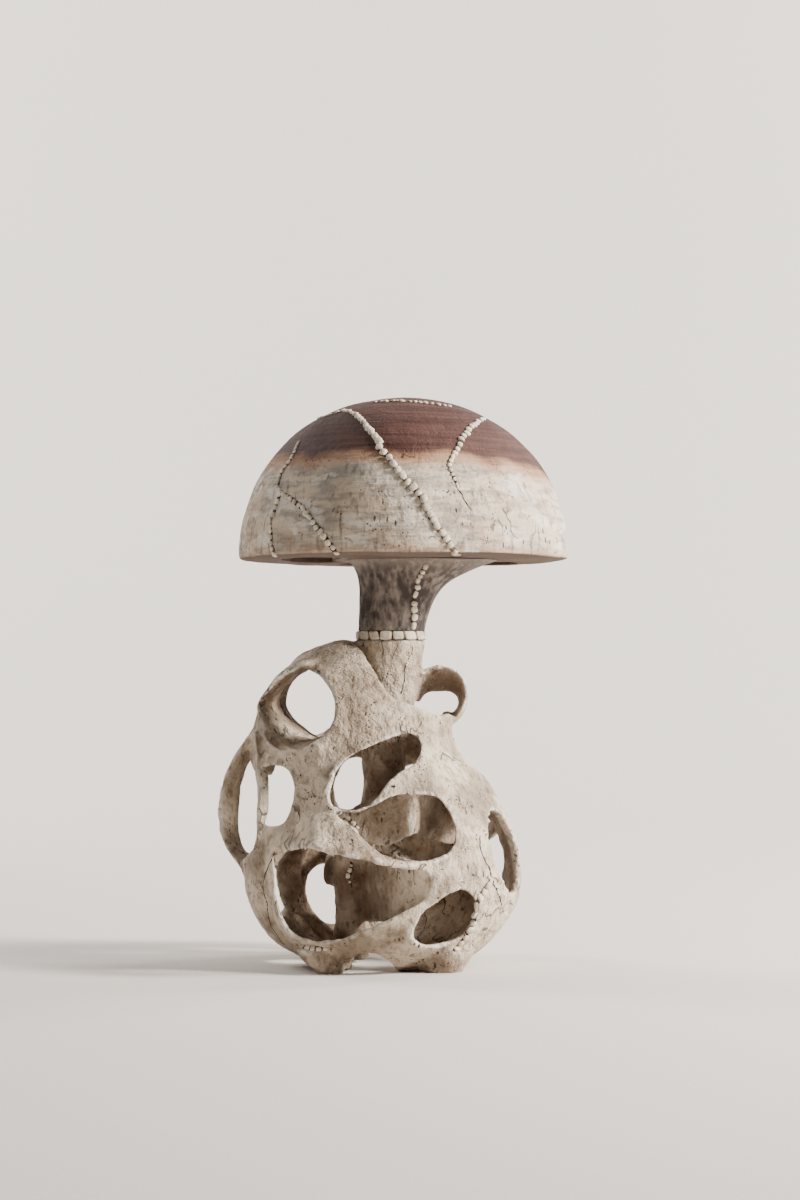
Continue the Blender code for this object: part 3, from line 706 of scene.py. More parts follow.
@dataclass
class OpenworkBody:
    """The pierced body, with its straps of clay, its feet and the lower stem."""

    # The hollow form before it is pierced: height, left, right, front and back of each level
    levels: tuple[Point, ...] = (
        (-14, -14, -14, -6, -6),
        (-7, -62, 40, -62, 58),
        (6, -106, 84, -104, 98),
        (32, -141, 113, -133, 124),
        (70, -163, 138, -146, 137),
        (115, -171, 144, -149, 140),
        (160, -167, 132, -144, 135),
        (205, -163, 106, -131, 124),
        (227, -163, 86, -124, 118),
        (248, -162, 69, -115, 112),
        (288, -153, 66, -100, 100),
        (318, -138, 46, -84, 88),
        (338, -119, 26, -67, 74),
        (355, -97, 2, -46, 48),
        (367, -62, -62, -8, -8),
    )
    segments: int = 96
    rings: int = 70
    wall: float = 0.009
    middle: Point = (-14, 0, 0)

    # The lower stem, from its top to its foot: x, y, z and radius
    stem: tuple[Point, ...] = (
        (-3, 0, 392, 38.0),
        (-4, 0, 350, 37.5),
        (-9, 0, 300, 34.0),
        (-12, -6, 240, 26.0),
        (-13, -14, 190, 22.0),
        (-30, -26, 152, 20.0),
        (-49, -34, 122, 18.5),
        (-49, -38, 80, 17.5),
        (-47, -38, 40, 17.5),
        (-46, -36, 8, 19.0),
    )
    bore_inset: float = 12.0

    # Holes seen from the front, each a smooth closed outline of x and z
    front_holes: tuple[tuple[Point, ...], ...] = (
        ((-104, 338), (-80, 327), (-66, 308), (-62, 286), (-68, 268), (-84, 253),
         (-108, 243), (-124, 244), (-137, 255), (-147, 280), (-145, 300), (-128, 325)),
        ((-58, 372), (-44, 361), (-27, 339), (-11, 312), (4, 298), (24, 290), (45, 281),
         (64, 281), (75, 291), (78, 306), (77, 320), (96, 338), (60, 400), (-20, 410)),
        ((18, 262), (29, 248), (22, 230), (8, 222), (-5, 211), (-18, 195), (-30, 184),
         (-46, 180), (-64, 184), (-68, 196), (-64, 216), (-52, 232), (-35, 243), (-8, 256)),
        ((-62, 177), (-42, 177), (-22, 184), (-9, 191), (8, 196), (31, 196), (47, 191),
         (59, 174), (65, 155), (59, 136), (42, 127), (18, 124), (-8, 126), (-22, 134), (-40, 150)),
        ((-129, 136), (-128, 112), (-126, 83), (-119, 58), (-108, 43), (-85, 36),
         (-56, 41), (-34, 50), (-12, 60), (8, 71), (28, 82), (41, 94), (44, 105), (34, 114),
         (6, 118), (-26, 126), (-52, 134), (-100, 142)),
        ((70, 94), (82, 86), (87, 70), (80, 50), (66, 38), (46, 33), (28, 35),
         (20, 46), (27, 63), (40, 80), (56, 91)),
        ((-122, 226), (-112, 219), (-107, 202), (-111, 178), (-123, 160), (-140, 162),
         (-152, 176), (-154, 196), (-150, 216), (-138, 226)),
    )

    # How far the rim of each front hole stands out, in millimetres
    rim_flare: tuple[float, ...] = (4.5, 1.5, 3.5, 4.5, 4.5, 4.0, 3.0)

    # Holes cut straight outwards from the middle: height, turn from the front towards +X in degrees,
    # half width, half height and lean in degrees
    side_holes: tuple[Point, ...] = (
        (130, 68, 34, 46, 16),
        (56, 96, 28, 22, 8),
        (122, 122, 38, 48, -10),
        (214, 106, 32, 38, 14),
        (172, -88, 80, 52, 0),
        (78, -112, 36, 30, 10),
        (298, -134, 48, 46, 0),
        (300, 132, 44, 32, 0),
        (305, 90, 50, 27, 0),
        (272, 178, 34, 27, -16),
        (190, -128, 43, 44, 0),
        (194, -165, 25, 36, 0),
        (186, 156, 46, 38, -14),
        (68, -150, 28, 35, -6),
        (68, 180, 34, 32, 8),
    )
    # Gaps between the feet: turn in degrees, half width and height
    foot_gaps: tuple[Point, ...] = ((-6, 27, 25), (98, 34, 20), (178, 38, 24), (-92, 38, 18))

    # Straps of clay: along each one x, y, z, half width, and the direction of its width
    straps: tuple[tuple[Point, ...], ...] = (
        ((-150, -6, 272, 9, 0.3, 1, 0), (-166, 8, 244, 14, 0.8, 1, 0), (-183, 18, 210, 16, 0.95, 1, 0),
         (-189.6, 22, 168, 15, 0.95, 1, 0), (-184, 18, 134, 14, 0.9, 1, 0),
         (-166, 6, 108, 13, 0.6, 1, 0), (-158, -4, 82, 10, 0, 1, 0)),
        ((-148, -46, 262, 13, 0.7, 1, 0), (-146, -56, 232, 10, 0.7, 1, 0), (-144, -62, 196, 7, 0.7, 1, 0),
         (-145, -62, 164, 8, 0.7, 1, 0), (-150, -62, 126, 13, 0.7, 1, 0)),
        ((-134, -62, 132, 9, 0.1, 0.1, 1), (-112, -108, 150, 18, 0.1, 0.4, 1),
         (-84, -140, 159, 25, 0.1, 0.7, 1), (-54, -153, 148, 23, 0, 0.8, 0.9),
         (-26, -158, 134, 14, 0, 1, 0.6), (0, -154, 124, 8, 0, 1, 0.4),
         (28, -143, 121, 6, 0, 1, 0.3), (56, -127, 126, 6, 0, 0.6, 0.8)),
        ((-66, -112, 176, 8, 0, 0.1, 1), (-46, -104, 165, 18, 0, 0.2, 1), (-14, -106, 168, 30, 0, 0.1, 1),
         (10, -114, 175, 27, 0, 0, 1), (20, -116, 177, 25, 0, 0, 1), (29, -98, 176, 27, 0, 0, 1),
         (46, -66, 172, 31, 0, 0, 1), (62, -44, 168, 33, 0, 0, 1), (88, -30, 168, 28, 0, 0, 1)),
        ((-40, -32, 92, 42, 0, 0, 1), (-26, -56, 92, 42, 0, 0, 1), (-6, -90, 93, 39, 0, 0, 1),
         (14, -119, 95, 33, 0, 0, 1), (32, -135, 98, 26, 0, 0, 1), (50, -137, 101, 17, 0, 0, 1),
         (68, -127, 103, 10, 0, 0, 1)),
        ((-30, -24, 150, 14, 0, 0.3, 1), (-66, 0, 150, 15, 0.3, 0.3, 1), (-98, 26, 138, 16, 0.8, 0.3, 0.8),
         (-117, 42, 114, 16, 1, 0.3, 0.3), (-121, 50, 88, 16, 1, 0.3, 0), (-111, 54, 60, 16, 1, 0.3, -0.6),
         (-88, 46, 36, 15, 0.4, 0.3, -1), (-60, 22, 16, 14, 0.1, 0.3, -1), (-44, -6, 6, 12, 0.1, 0.3, -1)),
        ((-50, -30, 108, 17, 0, 0, 1), (-70, 14, 102, 18, 0.1, 0, 1), (-76, 60, 106, 17, 0.2, 0, 1),
         (-62, 126, 116, 16, 0, 0, 1)),
        ((126, 66, 156, 9, 0.1, 0.2, 1), (98, 112, 134, 15, 0.1, 0.4, 1), (58, 146, 122, 19, 0, 0.1, 1),
         (14, 156, 126, 17, 0, -0.3, 1), (-26, 148, 142, 11, 0, -0.8, 1), (-62, 126, 156, 7, 0, -0.6, 1)),
        ((-12, 6, 226, 15, 0, 0, 1), (0, 60, 228, 15, 0.2, 0, 1), (6, 118, 220, 17, 0.4, 0, 1)),
        ((-84, -52, 341, 14, 0, 50, 0), (-97, -42, 338, 24, -2, 50, 0), (-116, -26, 327, 44, -2, 90, -6),
         (-133, -8, 305, 43, 12, 85, -10), (-135, -3, 288, 44, 27, 84, -9), (-122, -12, 271, 44, 36, 82, -7),
         (-103, -32, 255, 46, 42, 82, -3), (-88, -60, 250, 30, 22, 56, 7), (-70, -84, 256, 10, 10, 30, 10)),
        ((-2, -88, 138, 7, 0, 1, 0.3), (8, -98, 128, 6, 0, 1, 0.6), (16, -112, 121, 6, 0, 1, 0.6),
         (30, -132, 120, 7, 0, 1, 0.3)),
    )
    strap_half_thickness: float = 4.6

    # The upright ring at the right: its front and back rims as x, y, z, half width and half height
    ring_rims: tuple[Point, ...] = ((52, 0, 304, 29, 34), (52, 44, 289, 25, 17))
    ring_turn: tuple[int, ...] = (-140, 180, 20)

    # Feet that stand out from the underside: height, left, right, front and back of each level
    feet: tuple[tuple[Point, ...], ...] = (
        ((27, -112, -54, -118, -66), (12, -99, -51, -119, -76), (3, -87, -54, -116, -84),
         (-8, -78, -58, -112, -90)),
        ((24, 34, 90, -110, -56), (12, 31, 84, -110, -54), (3, 31, 78, -106, -56), (-8, 36, 70, -100, -62)),
    )
    underside: float = 62.0

    # The joint ring's seat: neck radius, outer radius and the two heights
    seat: Point = (32.4, 44.6, 365.7, 376.0)
    joint_x: float = -3.0

    # How far from the middle each cutter is drawn, and its size there
    front_cut: tuple[Point, ...] = ((-230, 1.04), (-120, 1.0), (-12, 0.96))
    side_cut: tuple[Point, ...] = ((34, 0.8), (130, 1.0), (230, 1.15))
    gap_cut: Point = (40, 200)
    gap_floor: float = -4
    gap_below: float = 30
    underside_cut: Point = (-60, 20)

    # The dents that the hands leave: width, full depth and where each pattern starts
    first_dents: Dents = (0.075, 0.007, (0.3, 0.1, 0.0))
    last_dents: tuple[Dents, ...] = (
        (0.024, 0.0034, (0.0, 0.2, 0.1)), (0.009, 0.0014, (0.1, 0.0, 0.1)))
    # How the painted shade of the hollows fades, by the share of the way out and by height
    depth_start: float = 0.93
    depth_fade: float = 0.26
    least_half: float = 20
    dark_below: float = 330
    dark_fade: float = 60
    look_from: Point = (-0.014, 0.0, 0.15)
    rim_reach: float = 0.010
    front_depth: float = 0.05
    voxel: float = 0.0026
    rub_steps: int = 5
    most_faces: int = 186000

    def blank(self) -> bpy.types.Object:
        """Build the unpierced form as a shell of even thickness."""
        last = len(self.levels) - 1
        places = [last * (index + 0.5) / self.rings for index in range(self.rings)]
        item = loft("openwork_clay", [level_ring(spline(self.levels, p), self.segments) for p in places])
        knead(item, *self.first_dents)
        modify(item, "SOLIDIFY", thickness=self.wall, offset=-1, use_even_offset=True)
        return item

    def front_cutter(self, outline: Sequence[Point]) -> bpy.types.Object:
        """Build a cutter for a hole in the front, which narrows inwards."""
        smooth = closed_curve(outline, 4)
        middle_x = sum(x for x, _ in outline) / len(outline)
        middle_z = sum(z for _, z in outline) / len(outline)
        rings = []
        for depth, size in self.front_cut:
            rings.append([(middle_x + (x - middle_x) * size, depth, middle_z + (z - middle_z) * size)
                          for x, z in smooth])
        return loft("cut", rings)

    def outward_cutter(self, height: float, turn: float, half_width: float, half_height: float,
                       lean: float) -> bpy.types.Object:
        """Build an oval cutter that points straight out from the middle.

        Args:
            height: The height of its middle.
            turn: Its direction, from the front towards +X, in degrees.
            half_width: Half its width.
            half_height: Half its height.
            lean: How far it leans, in degrees.

        Returns:
            The cutter.
        """
        spin = Matrix.Rotation(math.radians(turn), 3, "Z")
        tilt = Matrix.Rotation(-math.radians(lean), 3, "Y")
        middle = Vector((self.middle[0], 0, height))
        rings = []
        for reach, size in self.side_cut:
            u, v = half_width * size, half_height * size
            rings.append([tuple(middle + spin @ (tilt @ Vector((x, 0, y)) + Vector((0, -reach, 0))))
                          for x, y, _ in level_ring((0, -u, u, -v, v), 40)])
        return loft("cut", rings)

    def gap_cutter(self, turn: float, half_width: float, height: float) -> bpy.types.Object:
        """Build a cutter for an arched gap between two feet."""
        spin = Matrix.Rotation(math.radians(turn), 3, "Z")
        rings = []
        for reach in self.gap_cut:
            ring = []
            for x, y, _ in level_ring((0, -half_width, half_width, -1, 1), 32):
                rise = y * (height - self.gap_floor if y > 0 else self.gap_below) + self.gap_floor
                ring.append(tuple(Vector(self.middle) + spin @ Vector((x, -reach, rise))))
            rings.append(ring)
        return loft("cut", rings)

    def strap(self, points: Sequence[Point]) -> bpy.types.Object:
        """Build a flat oval bar of clay along its points."""
        samples = along(points, 6)
        rings = []
        for index, sample in enumerate(samples):
            before = Vector(samples[max(index - 1, 0)][:3])
            after = Vector(samples[min(index + 1, len(samples) - 1)][:3])
            forward = (after - before).normalized()
            width = Vector(sample[4:])
            width = (width - forward * width.dot(forward)).normalized()
            depth = forward.cross(width)
            centre, half = Vector(sample[:3]), self.strap_half_thickness
            rings.append([tuple(centre + width * x + depth * y)
                          for x, y, _ in level_ring((0, -sample[3], sample[3], -half, half), 16)])
        return loft("strap", rings)

    def upright_ring(self) -> bpy.types.Object:
        """Build the upright ring as a strap that runs once round between its two rims."""
        points = []
        first, last, step = self.ring_turn
        for degrees in range(first, last + 1, step):
            turn = math.radians(degrees)
            front, back = (Vector((x + half_width * math.cos(turn), y, z + half_height * math.sin(turn)))
                           for x, y, z, half_width, half_height in self.ring_rims)
            centre = (front + back) / 2
            points.append((*centre, (back - front).length / 2, *(back - front).normalized()))
        return self.strap(points)

    def bar(self, route: Sequence[Point], inset: float = 0.0) -> bpy.types.Object:
        """Build a round bar along points of x, y, z and radius, with level ends."""
        rings = []
        for x, y, z, radius in along(route, 5):
            radius -= inset
            rings.append(level_ring((z, x - radius, x + radius, y - radius, y + radius), 40))
        return loft("bar", rings)

    def foot(self, levels: Sequence[Point]) -> bpy.types.Object:
        """Build a foot through its levels, with a rounded outline."""
        return loft("foot", [level_ring(level, 32) for level in along(levels, 4)])

    def build(self) -> bpy.types.Object:
        """Build the whole body as one piece of clay."""
        item = self.blank()
        cutters = [self.front_cutter(outline) for outline in self.front_holes]
        cutters += [self.outward_cutter(*sizes) for sizes in self.side_holes]
        cutters += [self.gap_cutter(*sizes) for sizes in self.foot_gaps]
        reach = self.underside
        flat = (self.middle[0] - reach, self.middle[0] + reach, -reach, reach)
        cutters.append(loft("cut", [level_ring((height, *flat), 36) for height in self.underside_cut]))
        cut(item, cutters)
        added = [self.strap(points) for points in self.straps]
        added += [self.foot(levels) for levels in self.feet]
        added += [self.upright_ring(), self.lower_stem()]
        press_on(item, added)
        modify(item, "REMESH", mode="VOXEL", voxel_size=self.voxel)
        self.pull_rims(item)
        modify(item, "SMOOTH", factor=0.5, iterations=self.rub_steps)
        for dents in self.last_dents:
            knead(item, *dents)
        self.stand_flat(item)
        faces = sum(len(p.vertices) - 2 for p in item.data.polygons)
        if faces > self.most_faces:
            modify(item, "DECIMATE", ratio=self.most_faces / faces)
        self.drop_crumbs(item)
        item.data.shade_smooth()
        return item

    def pull_rims(self, item: bpy.types.Object) -> None:
        """Pull the clay out round each front hole, so that the bands between them are hollowed."""
        places = read_points(item)
        pull = np.zeros(len(places))
        for outline, flare in zip(self.front_holes, self.rim_flare):
            rim = np.array(closed_curve(outline, 6)) * MM
            gap = np.full(len(places), 1.0)
            for x, z in rim:
                gap = np.minimum(gap, np.hypot(places[:, 0] - x, places[:, 2] - z))
            pull = np.maximum(pull, flare * MM * np.exp(-((gap / self.rim_reach) ** 2)))
        away = places - np.array((self.middle[0] * MM, 0.0, 0.0))
        away[:, 2] = 0.0
        away /= np.linalg.norm(away, axis=1, keepdims=True) + TINY
        front = np.clip(-places[:, 1] / self.front_depth, 0, 1)
        places += away * (pull * front)[:, None]
        item.data.vertices.foreach_set("co", places.ravel())
        item.data.update()

    def lower_stem(self) -> bpy.types.Object:
        """Build the lower stem, with the joint's seat at its top and a bore down it."""
        neck, outer, low, high = self.seat
        item = self.bar(self.stem)
        across = (self.joint_x - outer, self.joint_x + outer, -outer, outer)
        inner = (self.joint_x - neck, self.joint_x + neck, -neck, neck)
        collar = loft("cut", [level_ring((height, *across), 64) for height in (low, 420)])
        spare = loft("cut", [level_ring((height, *inner), 64) for height in (low - 20, high)])
        cut(collar, [spare])
        cut(item, [collar, self.bar(self.stem[:5], self.bore_inset)])
        return item

    def stand_flat(self, item: bpy.types.Object) -> None:
        """Cut the feet level with the ground."""
        with editing(item):
            bpy.ops.mesh.bisect(plane_co=(0, 0, 0), plane_no=(0, 0, 1), clear_inner=True, use_fill=True)

    def drop_crumbs(self, item: bpy.types.Object) -> None:
        """Remove every scrap that isn't joined to the body."""
        with editing(item, "DESELECT"):
            bpy.ops.mesh.select_mode(type="VERT")
        max(item.data.vertices, key=lambda v: v.co.z).select = True
        with editing(item, None):
            bpy.ops.mesh.select_linked()
            bpy.ops.mesh.select_all(action="INVERT")
            bpy.ops.mesh.delete(type="VERT")

    def depth(self, item: bpy.types.Object) -> np.ndarray:
        """Return how far inside the unpierced form each point is, from 0 at its surface to 1, for the painted
        shade of the hollows.
        """
        places = read_points(item) / MM
        table = np.array(self.levels)
        left, right, front, back = (np.interp(places[:, 2], table[:, 0], table[:, column])
                                    for column in range(1, 5))
        across, deep = ((places[:, axis] - (low + high) / 2) / np.maximum((high - low) / 2, self.least_half)
                        for axis, low, high in ((0, left, right), (1, front, back)))
        inside = np.clip((self.depth_start - np.hypot(across, deep)) / self.depth_fade, 0, 1)
        return inside * np.clip((self.dark_below - places[:, 2]) / self.dark_fade, 0, 1)

    def dress(self, item: bpy.types.Object, finish: bpy.types.Material) -> None:
        """Mark the body's hollows and edges, where the finish paints shade and highlights, and install it.

        Args:
            item: The body.
            finish: Its material.
        """
        mark_hollows(item, Vector(self.look_from), self.depth(item))
        install(item, finish, Slot.PALE_CLAY.value, "openwork_body")


def read_points(item: bpy.types.Object) -> np.ndarray:
    """Return the places of a mesh's points, one row each."""
    places = np.empty(len(item.data.vertices) * 3)
    item.data.vertices.foreach_get("co", places)
    return places.reshape(-1, 3)


def mark_hollows(item: bpy.types.Object, middle: Vector, depth: np.ndarray) -> None:
    """Store on the mesh how much painted shade each place gets in the hollows, and how edge-like it is for
    the painted highlight.

    Args:
        item: The piece.
        middle: The point that the inner faces look towards.
        depth: How far inside the piece each point is, from 0 to 1.
    """
    mesh = item.data
    places = read_points(item)
    normals = np.empty(places.size)
    mesh.vertex_normals.foreach_get("vector", normals)
    normals = normals.reshape(-1, 3)
    away = places - np.array(middle)
    away[:, 2] *= FLATTER
    away /= np.linalg.norm(away, axis=1, keepdims=True) + TINY
    inward = np.clip(-(away * normals).sum(1), 0, 1)
    edges = np.empty(len(mesh.edges) * 2, int)
    mesh.edges.foreach_get("vertices", edges)
    edges = edges.reshape(-1, 2)
    inward = even_out(inward, edges, 3)
    hidden = even_out(roofed_over(item, places, normals), edges, 5)
    # The edge mark lightens convex places, a painted highlight
    lean = ((places - neighbours(places, edges, 0.0)) * normals).sum(1)
    edge = even_out(np.clip(lean / EDGE_LEAN, -1, 1), edges, 2)
    # Painted shade: inward-facing, roofed-over and deep places darken the most
    hollow_shade = np.clip(inward * 0.65 + hidden * 0.6 + depth * 0.6 - 0.16, 0, 1)
    for name, values in (("hollow_shade", hollow_shade), ("edge", np.clip(edge, 0, 1))):
        mark = mesh.attributes.new(name, "FLOAT", "POINT")
        mark.data.foreach_set("value", values.astype(np.float32))


def roofed_over(item: bpy.types.Object, places: np.ndarray, normals: np.ndarray) -> np.ndarray:
    """Return the share of a few ways out from each point that meet more clay nearby."""
    tree = surface_of(item)
    ways = [Vector((math.cos(turn), math.sin(turn), 0.75)).normalized() for turn in (0.4, 2.5, 4.6)]
    ways.append(Vector((0, 0, 1)))
    hidden = np.zeros(len(places))
    for index, place in enumerate(places):
        normal = Vector(normals[index])
        turn = normal.to_track_quat("Z", "Y")
        start = Vector(place) + normal * RAY_START
        hits = sum(tree.ray_cast(start, turn @ way, RAY_REACH)[0] is not None for way in ways)
        hidden[index] = hits / len(ways)
    return hidden


def neighbours(values: np.ndarray, edges: np.ndarray, own: float) -> np.ndarray:
    """Return the mean of each point's neighbours, with its own value weighed as given."""
    total = values * own
    ties = np.full(len(values), own)
    for a, b in ((0, 1), (1, 0)):
        np.add.at(total, edges[:, a], values[edges[:, b]])
        np.add.at(ties, edges[:, a], 1)
    return (total.T / np.maximum(ties, 1)).T


def even_out(values: np.ndarray, edges: np.ndarray, steps: int) -> np.ndarray:
    """Blend each point's value with its neighbours' a few times."""
    for _ in range(steps):
        values = neighbours(values, edges, 1.0)
    return values


# ---------------------------------------------------------------- the cap


@dataclass
class DomeCap:
    """The hollow dome with its rim, its floor and the openings in the floor."""

    centre: float = 11.0
    # Radius and height down the outside
    outside: tuple[Point, ...] = (
        (0, 641), (28, 639.4), (60, 632.5), (93, 619.5), (124, 600), (152, 570), (171, 538), (183.5, 500),
        (187.4, 475), (187.6, 462),
    )
    rim: tuple[Point, ...] = ((187, 459), (185.5, 457.4), (183, 457))
    floor: tuple[Point, ...] = ((60, 457), (24, 457), (24, 465))
    # Radius and height up the inside
    inside: tuple[Point, ...] = (
        (178, 465), (178.5, 475), (174.5, 499), (162, 535), (144, 565), (118, 592), (89, 610.5), (58, 623),
        (28, 630), (0, 632),
    )
    slots: tuple[Point, ...] = ((78, 140, 140, 220), (96, 160, 22, 72), (90, 148, 84, 128))
    segments: int = 180
    slot_steps: int = 12
    slot_end_steps: int = 9
    slot_cut: Point = (450, 470)
    seam_gap: float = 0.00002
    dents: tuple[Dents, ...] = ((0.11, 0.0034, (0.2, 0.3, 0.05)), (0.03, 0.0012, (0.1, 0.0, 0.05)))

    # Below this height a face that looks down is inside, and so is one that looks this far inwards; the
    # inside gets painted shade
    underneath: float = 0.4585
    turned_in: float = -0.02

    def build(self) -> bpy.types.Object:
        """Build the dome by turning its outline once round."""
        outline = along(self.outside, 5) + list(self.rim) + list(self.floor) + along(self.inside, 3)
        points = [((self.centre + radius) * MM, 0, height * MM) for radius, height in outline]
        edges = [(index, index + 1) for index in range(len(points) - 1)]
        item = mesh_piece("glazed_cap", points, edges, [])
        with editing(item):
            bpy.ops.mesh.spin(steps=self.segments, angle=2 * math.pi, center=(self.centre * MM, 0, 0),
                              axis=(0, 0, 1), use_auto_merge=True)
            bpy.ops.mesh.select_all(action="SELECT")
            bpy.ops.mesh.remove_doubles(threshold=self.seam_gap)
            bpy.ops.mesh.normals_make_consistent(inside=False)
        cut(item, [self.slot(*sizes) for sizes in self.slots])
        for dents in self.dents:
            knead(item, *dents)
        smooth_over(item)
        return item

    def slot(self, inside: float, outside: float, start: float, end: float) -> bpy.types.Object:
        """Build a cutter for a curved opening with round ends.

        Args:
            inside: Its inner radius.
            outside: Its outer radius.
            start: Where it starts, in degrees.
            end: Where it ends, in degrees.

        Returns:
            The cutter.
        """
        middle, half = (inside + outside) / 2, (outside - inside) / 2
        inset = half / middle
        first, last = math.radians(start) + inset, math.radians(end) - inset
        outline = []
        for side, begin, finish in ((1, first, last), (-1, last, first)):
            for index in range(self.slot_steps + 1):
                angle = begin + (finish - begin) * index / self.slot_steps
                outline.append(Vector((math.cos(angle), math.sin(angle))) * (middle + side * half))
            out = Vector((math.cos(finish), math.sin(finish)))
            onward = Vector((-out.y, out.x)) * side
            for index in range(1, self.slot_end_steps):
                swing = math.pi * index / self.slot_end_steps
                outline.append(out * (middle + side * half * math.cos(swing))
                               + onward * half * math.sin(swing))
        return loft("cut", [[(self.centre + p.x, p.y, height) for p in outline] for height in self.slot_cut])

    def dress(self, item: bpy.types.Object, finish: bpy.types.Material) -> None:
        """Mark the inside of the dome, which the finish paints in shade, and install it."""
        mark = item.data.attributes.new("inside", "FLOAT", "POINT")
        for vertex, stored in zip(item.data.vertices, mark.data):
            x, y = vertex.co.x - self.centre * MM, vertex.co.y
            inward = -vertex.normal.z if vertex.co.z < self.underneath else 0.0
            facing = vertex.normal.x * x + vertex.normal.y * y
            if math.hypot(x, y) < self.outside[-1][0] * MM and facing < self.turned_in:
                inward = 1.0
            stored.value = max(0.0, min(1.0, inward))
        install(item, finish, Slot.PLUM_GLAZE.value, "cap")


# ---------------------------------------------------------------- the stem and its joint


@dataclass
class UpperStem:
    """The flared stem section, with a bore down its middle."""

    # Height, left, right, front and back of each level
    levels: tuple[Point, ...] = (
        (376.3, -41, 35, -38, 38),
        (388, -40, 37.5, -38.5, 38.5),
        (402, -39, 41.5, -39.5, 39.5),
        (415, -39, 48, -41, 41),
        (428, -39.5, 59, -44, 44),
        (438, -41, 73, -48, 48),
        (446, -44, 90, -53, 52),
        (452, -48, 105, -58, 56),
        (456.7, -54, 118, -63, 60),
    )
    bore: float = 24.0
    # The middle of the bore across, and the height, at each end of its cutter
    bore_ends: tuple[Point, ...] = ((-3, 350), (11, 480))
    edge: float = 0.0015
    dents: Dents = (0.03, 0.002, (0.4, 0.0, 0.0))

    def build(self) -> bpy.types.Object:
        """Build the stem section by drawing a ring of clay up through its levels."""
        item = loft("washed_stem", [level_ring(level, 96) for level in along(self.levels, 5)])
        hole = loft("cut", [level_ring((height, x - self.bore, x + self.bore, -self.bore, self.bore), 48)
                            for x, height in self.bore_ends])
        cut(item, [hole])
        modify(item, "BEVEL", width=self.edge, segments=2, limit_method="ANGLE")
        knead(item, *self.dents)
        smooth_over(item)
        return item

    def dress(self, item: bpy.types.Object, finish: bpy.types.Material) -> None:
        """Install the stem section in its finish."""
        install(item, finish, Slot.DARK_WASH.value, "upper_stem")


@dataclass
class JointRing:
    """The ring of flat stones between the two stem sections."""

    centre: float = -3.0
    height: float = 371.0
    tall: float = 10.4
    inner: float = 32.8
    outer: float = 40.9
    count: int = 16
    seed: int = 11
    # What the stones' small differences run between
    shares: Point = (0.86, 1.14)
    set_back: Point = (0.0, 0.9)
    worn: Point = (0.2, 1.2)
    skew: float = 0.05
    bumps: float = 0.25
    # The gap between two stones in radians, and how much narrower each is at its top and foot
    gap: float = 0.030
    taper: float = 0.12
    edge: float = 0.0018
    slip_inset: float = 1.8
    slip_edge: float = 0.0008

    def build(self) -> list[bpy.types.Object]:
        """Build each stone from a block that is rounded and set on the ring."""
        chance = random.Random(self.seed)
        shares = [chance.uniform(*self.shares) for _ in range(self.count)]
        scale = 2 * math.pi / sum(shares)
        turn = 0.0
        stones = []
        for index, share in enumerate(shares):
            span = share * scale
            stones.append(self.stone(index, turn + span / 2, span, chance))
            turn += span
        return stones

    def stone(self, index: int, turn: float, span: float, chance: random.Random) -> bpy.types.Object:
        """Build one stone.

        Args:
            index: Which stone it is.
            turn: Its direction, in radians.
            span: The angle that it takes up.
            chance: The source of its small differences.

        Returns:
            The stone.
        """
        deselect()
        bpy.ops.mesh.primitive_cube_add(size=1.0)
        item = bpy.context.active_object
        item.name = f"flat_stone_{index + 1:02d}"
        with editing(item):
            bpy.ops.mesh.subdivide(number_cuts=3)
        outer = self.outer - chance.uniform(*self.set_back)
        tall = self.tall - chance.uniform(*self.worn)
        skew = chance.uniform(-self.skew, self.skew)
        for vertex in item.data.vertices:
            side, depth, rise = vertex.co
            angle = turn + side * (span - self.gap) * (1 - self.taper * abs(rise)) + skew * rise * span * 4
            radius = self.inner + (depth + 0.5) * (outer - self.inner)
            height = self.height + rise * tall + chance.uniform(-self.bumps, self.bumps)
            vertex.co = ((self.centre + radius * math.cos(angle)) * MM, radius * math.sin(angle) * MM,
                         height * MM)
        face_out(item)
        modify(item, "BEVEL", width=self.edge, segments=3, limit_method="ANGLE")
        modify(item, "SUBSURF", levels=1, render_levels=1)
        item.data.shade_smooth()
        return item

    def slip(self) -> bpy.types.Object:
        """Build the band of dark slip that shows between the stones."""
        deselect()
        bpy.ops.mesh.primitive_cylinder_add(vertices=96, radius=(self.outer - self.slip_inset) * MM,
                                            depth=self.tall * MM,
                                            location=(self.centre * MM, 0, self.height * MM))
        item = bpy.context.active_object
        item.name = "joint_slip"
        bpy.ops.object.transform_apply(location=True, rotation=True, scale=True)
        with editing(item):
            bpy.ops.mesh.bevel(offset=self.slip_edge, segments=2, affect="EDGES")
        item.data.shade_smooth()
        return item

    def dress(self, stones: Iterable[bpy.types.Object], finish: bpy.types.Material) -> None:
        """Install every stone in its finish."""
        for index, item in enumerate(stones):
            # A full crown leaves these stones without painted shade at the foot
            mark = item.data.attributes.new("crown", "FLOAT", "POINT")
            for stored in mark.data:
                stored.value = 1.0
            install(item, finish, Slot.WHITE_STONE.value, f"joint_stone_{index + 1:02d}")


# ---------------------------------------------------------------- seams


class Side(Enum):
    """The side that a seam's route is drawn from, as the sign of the eye's y."""

    FRONT = -1.0
    BACK = 1.0


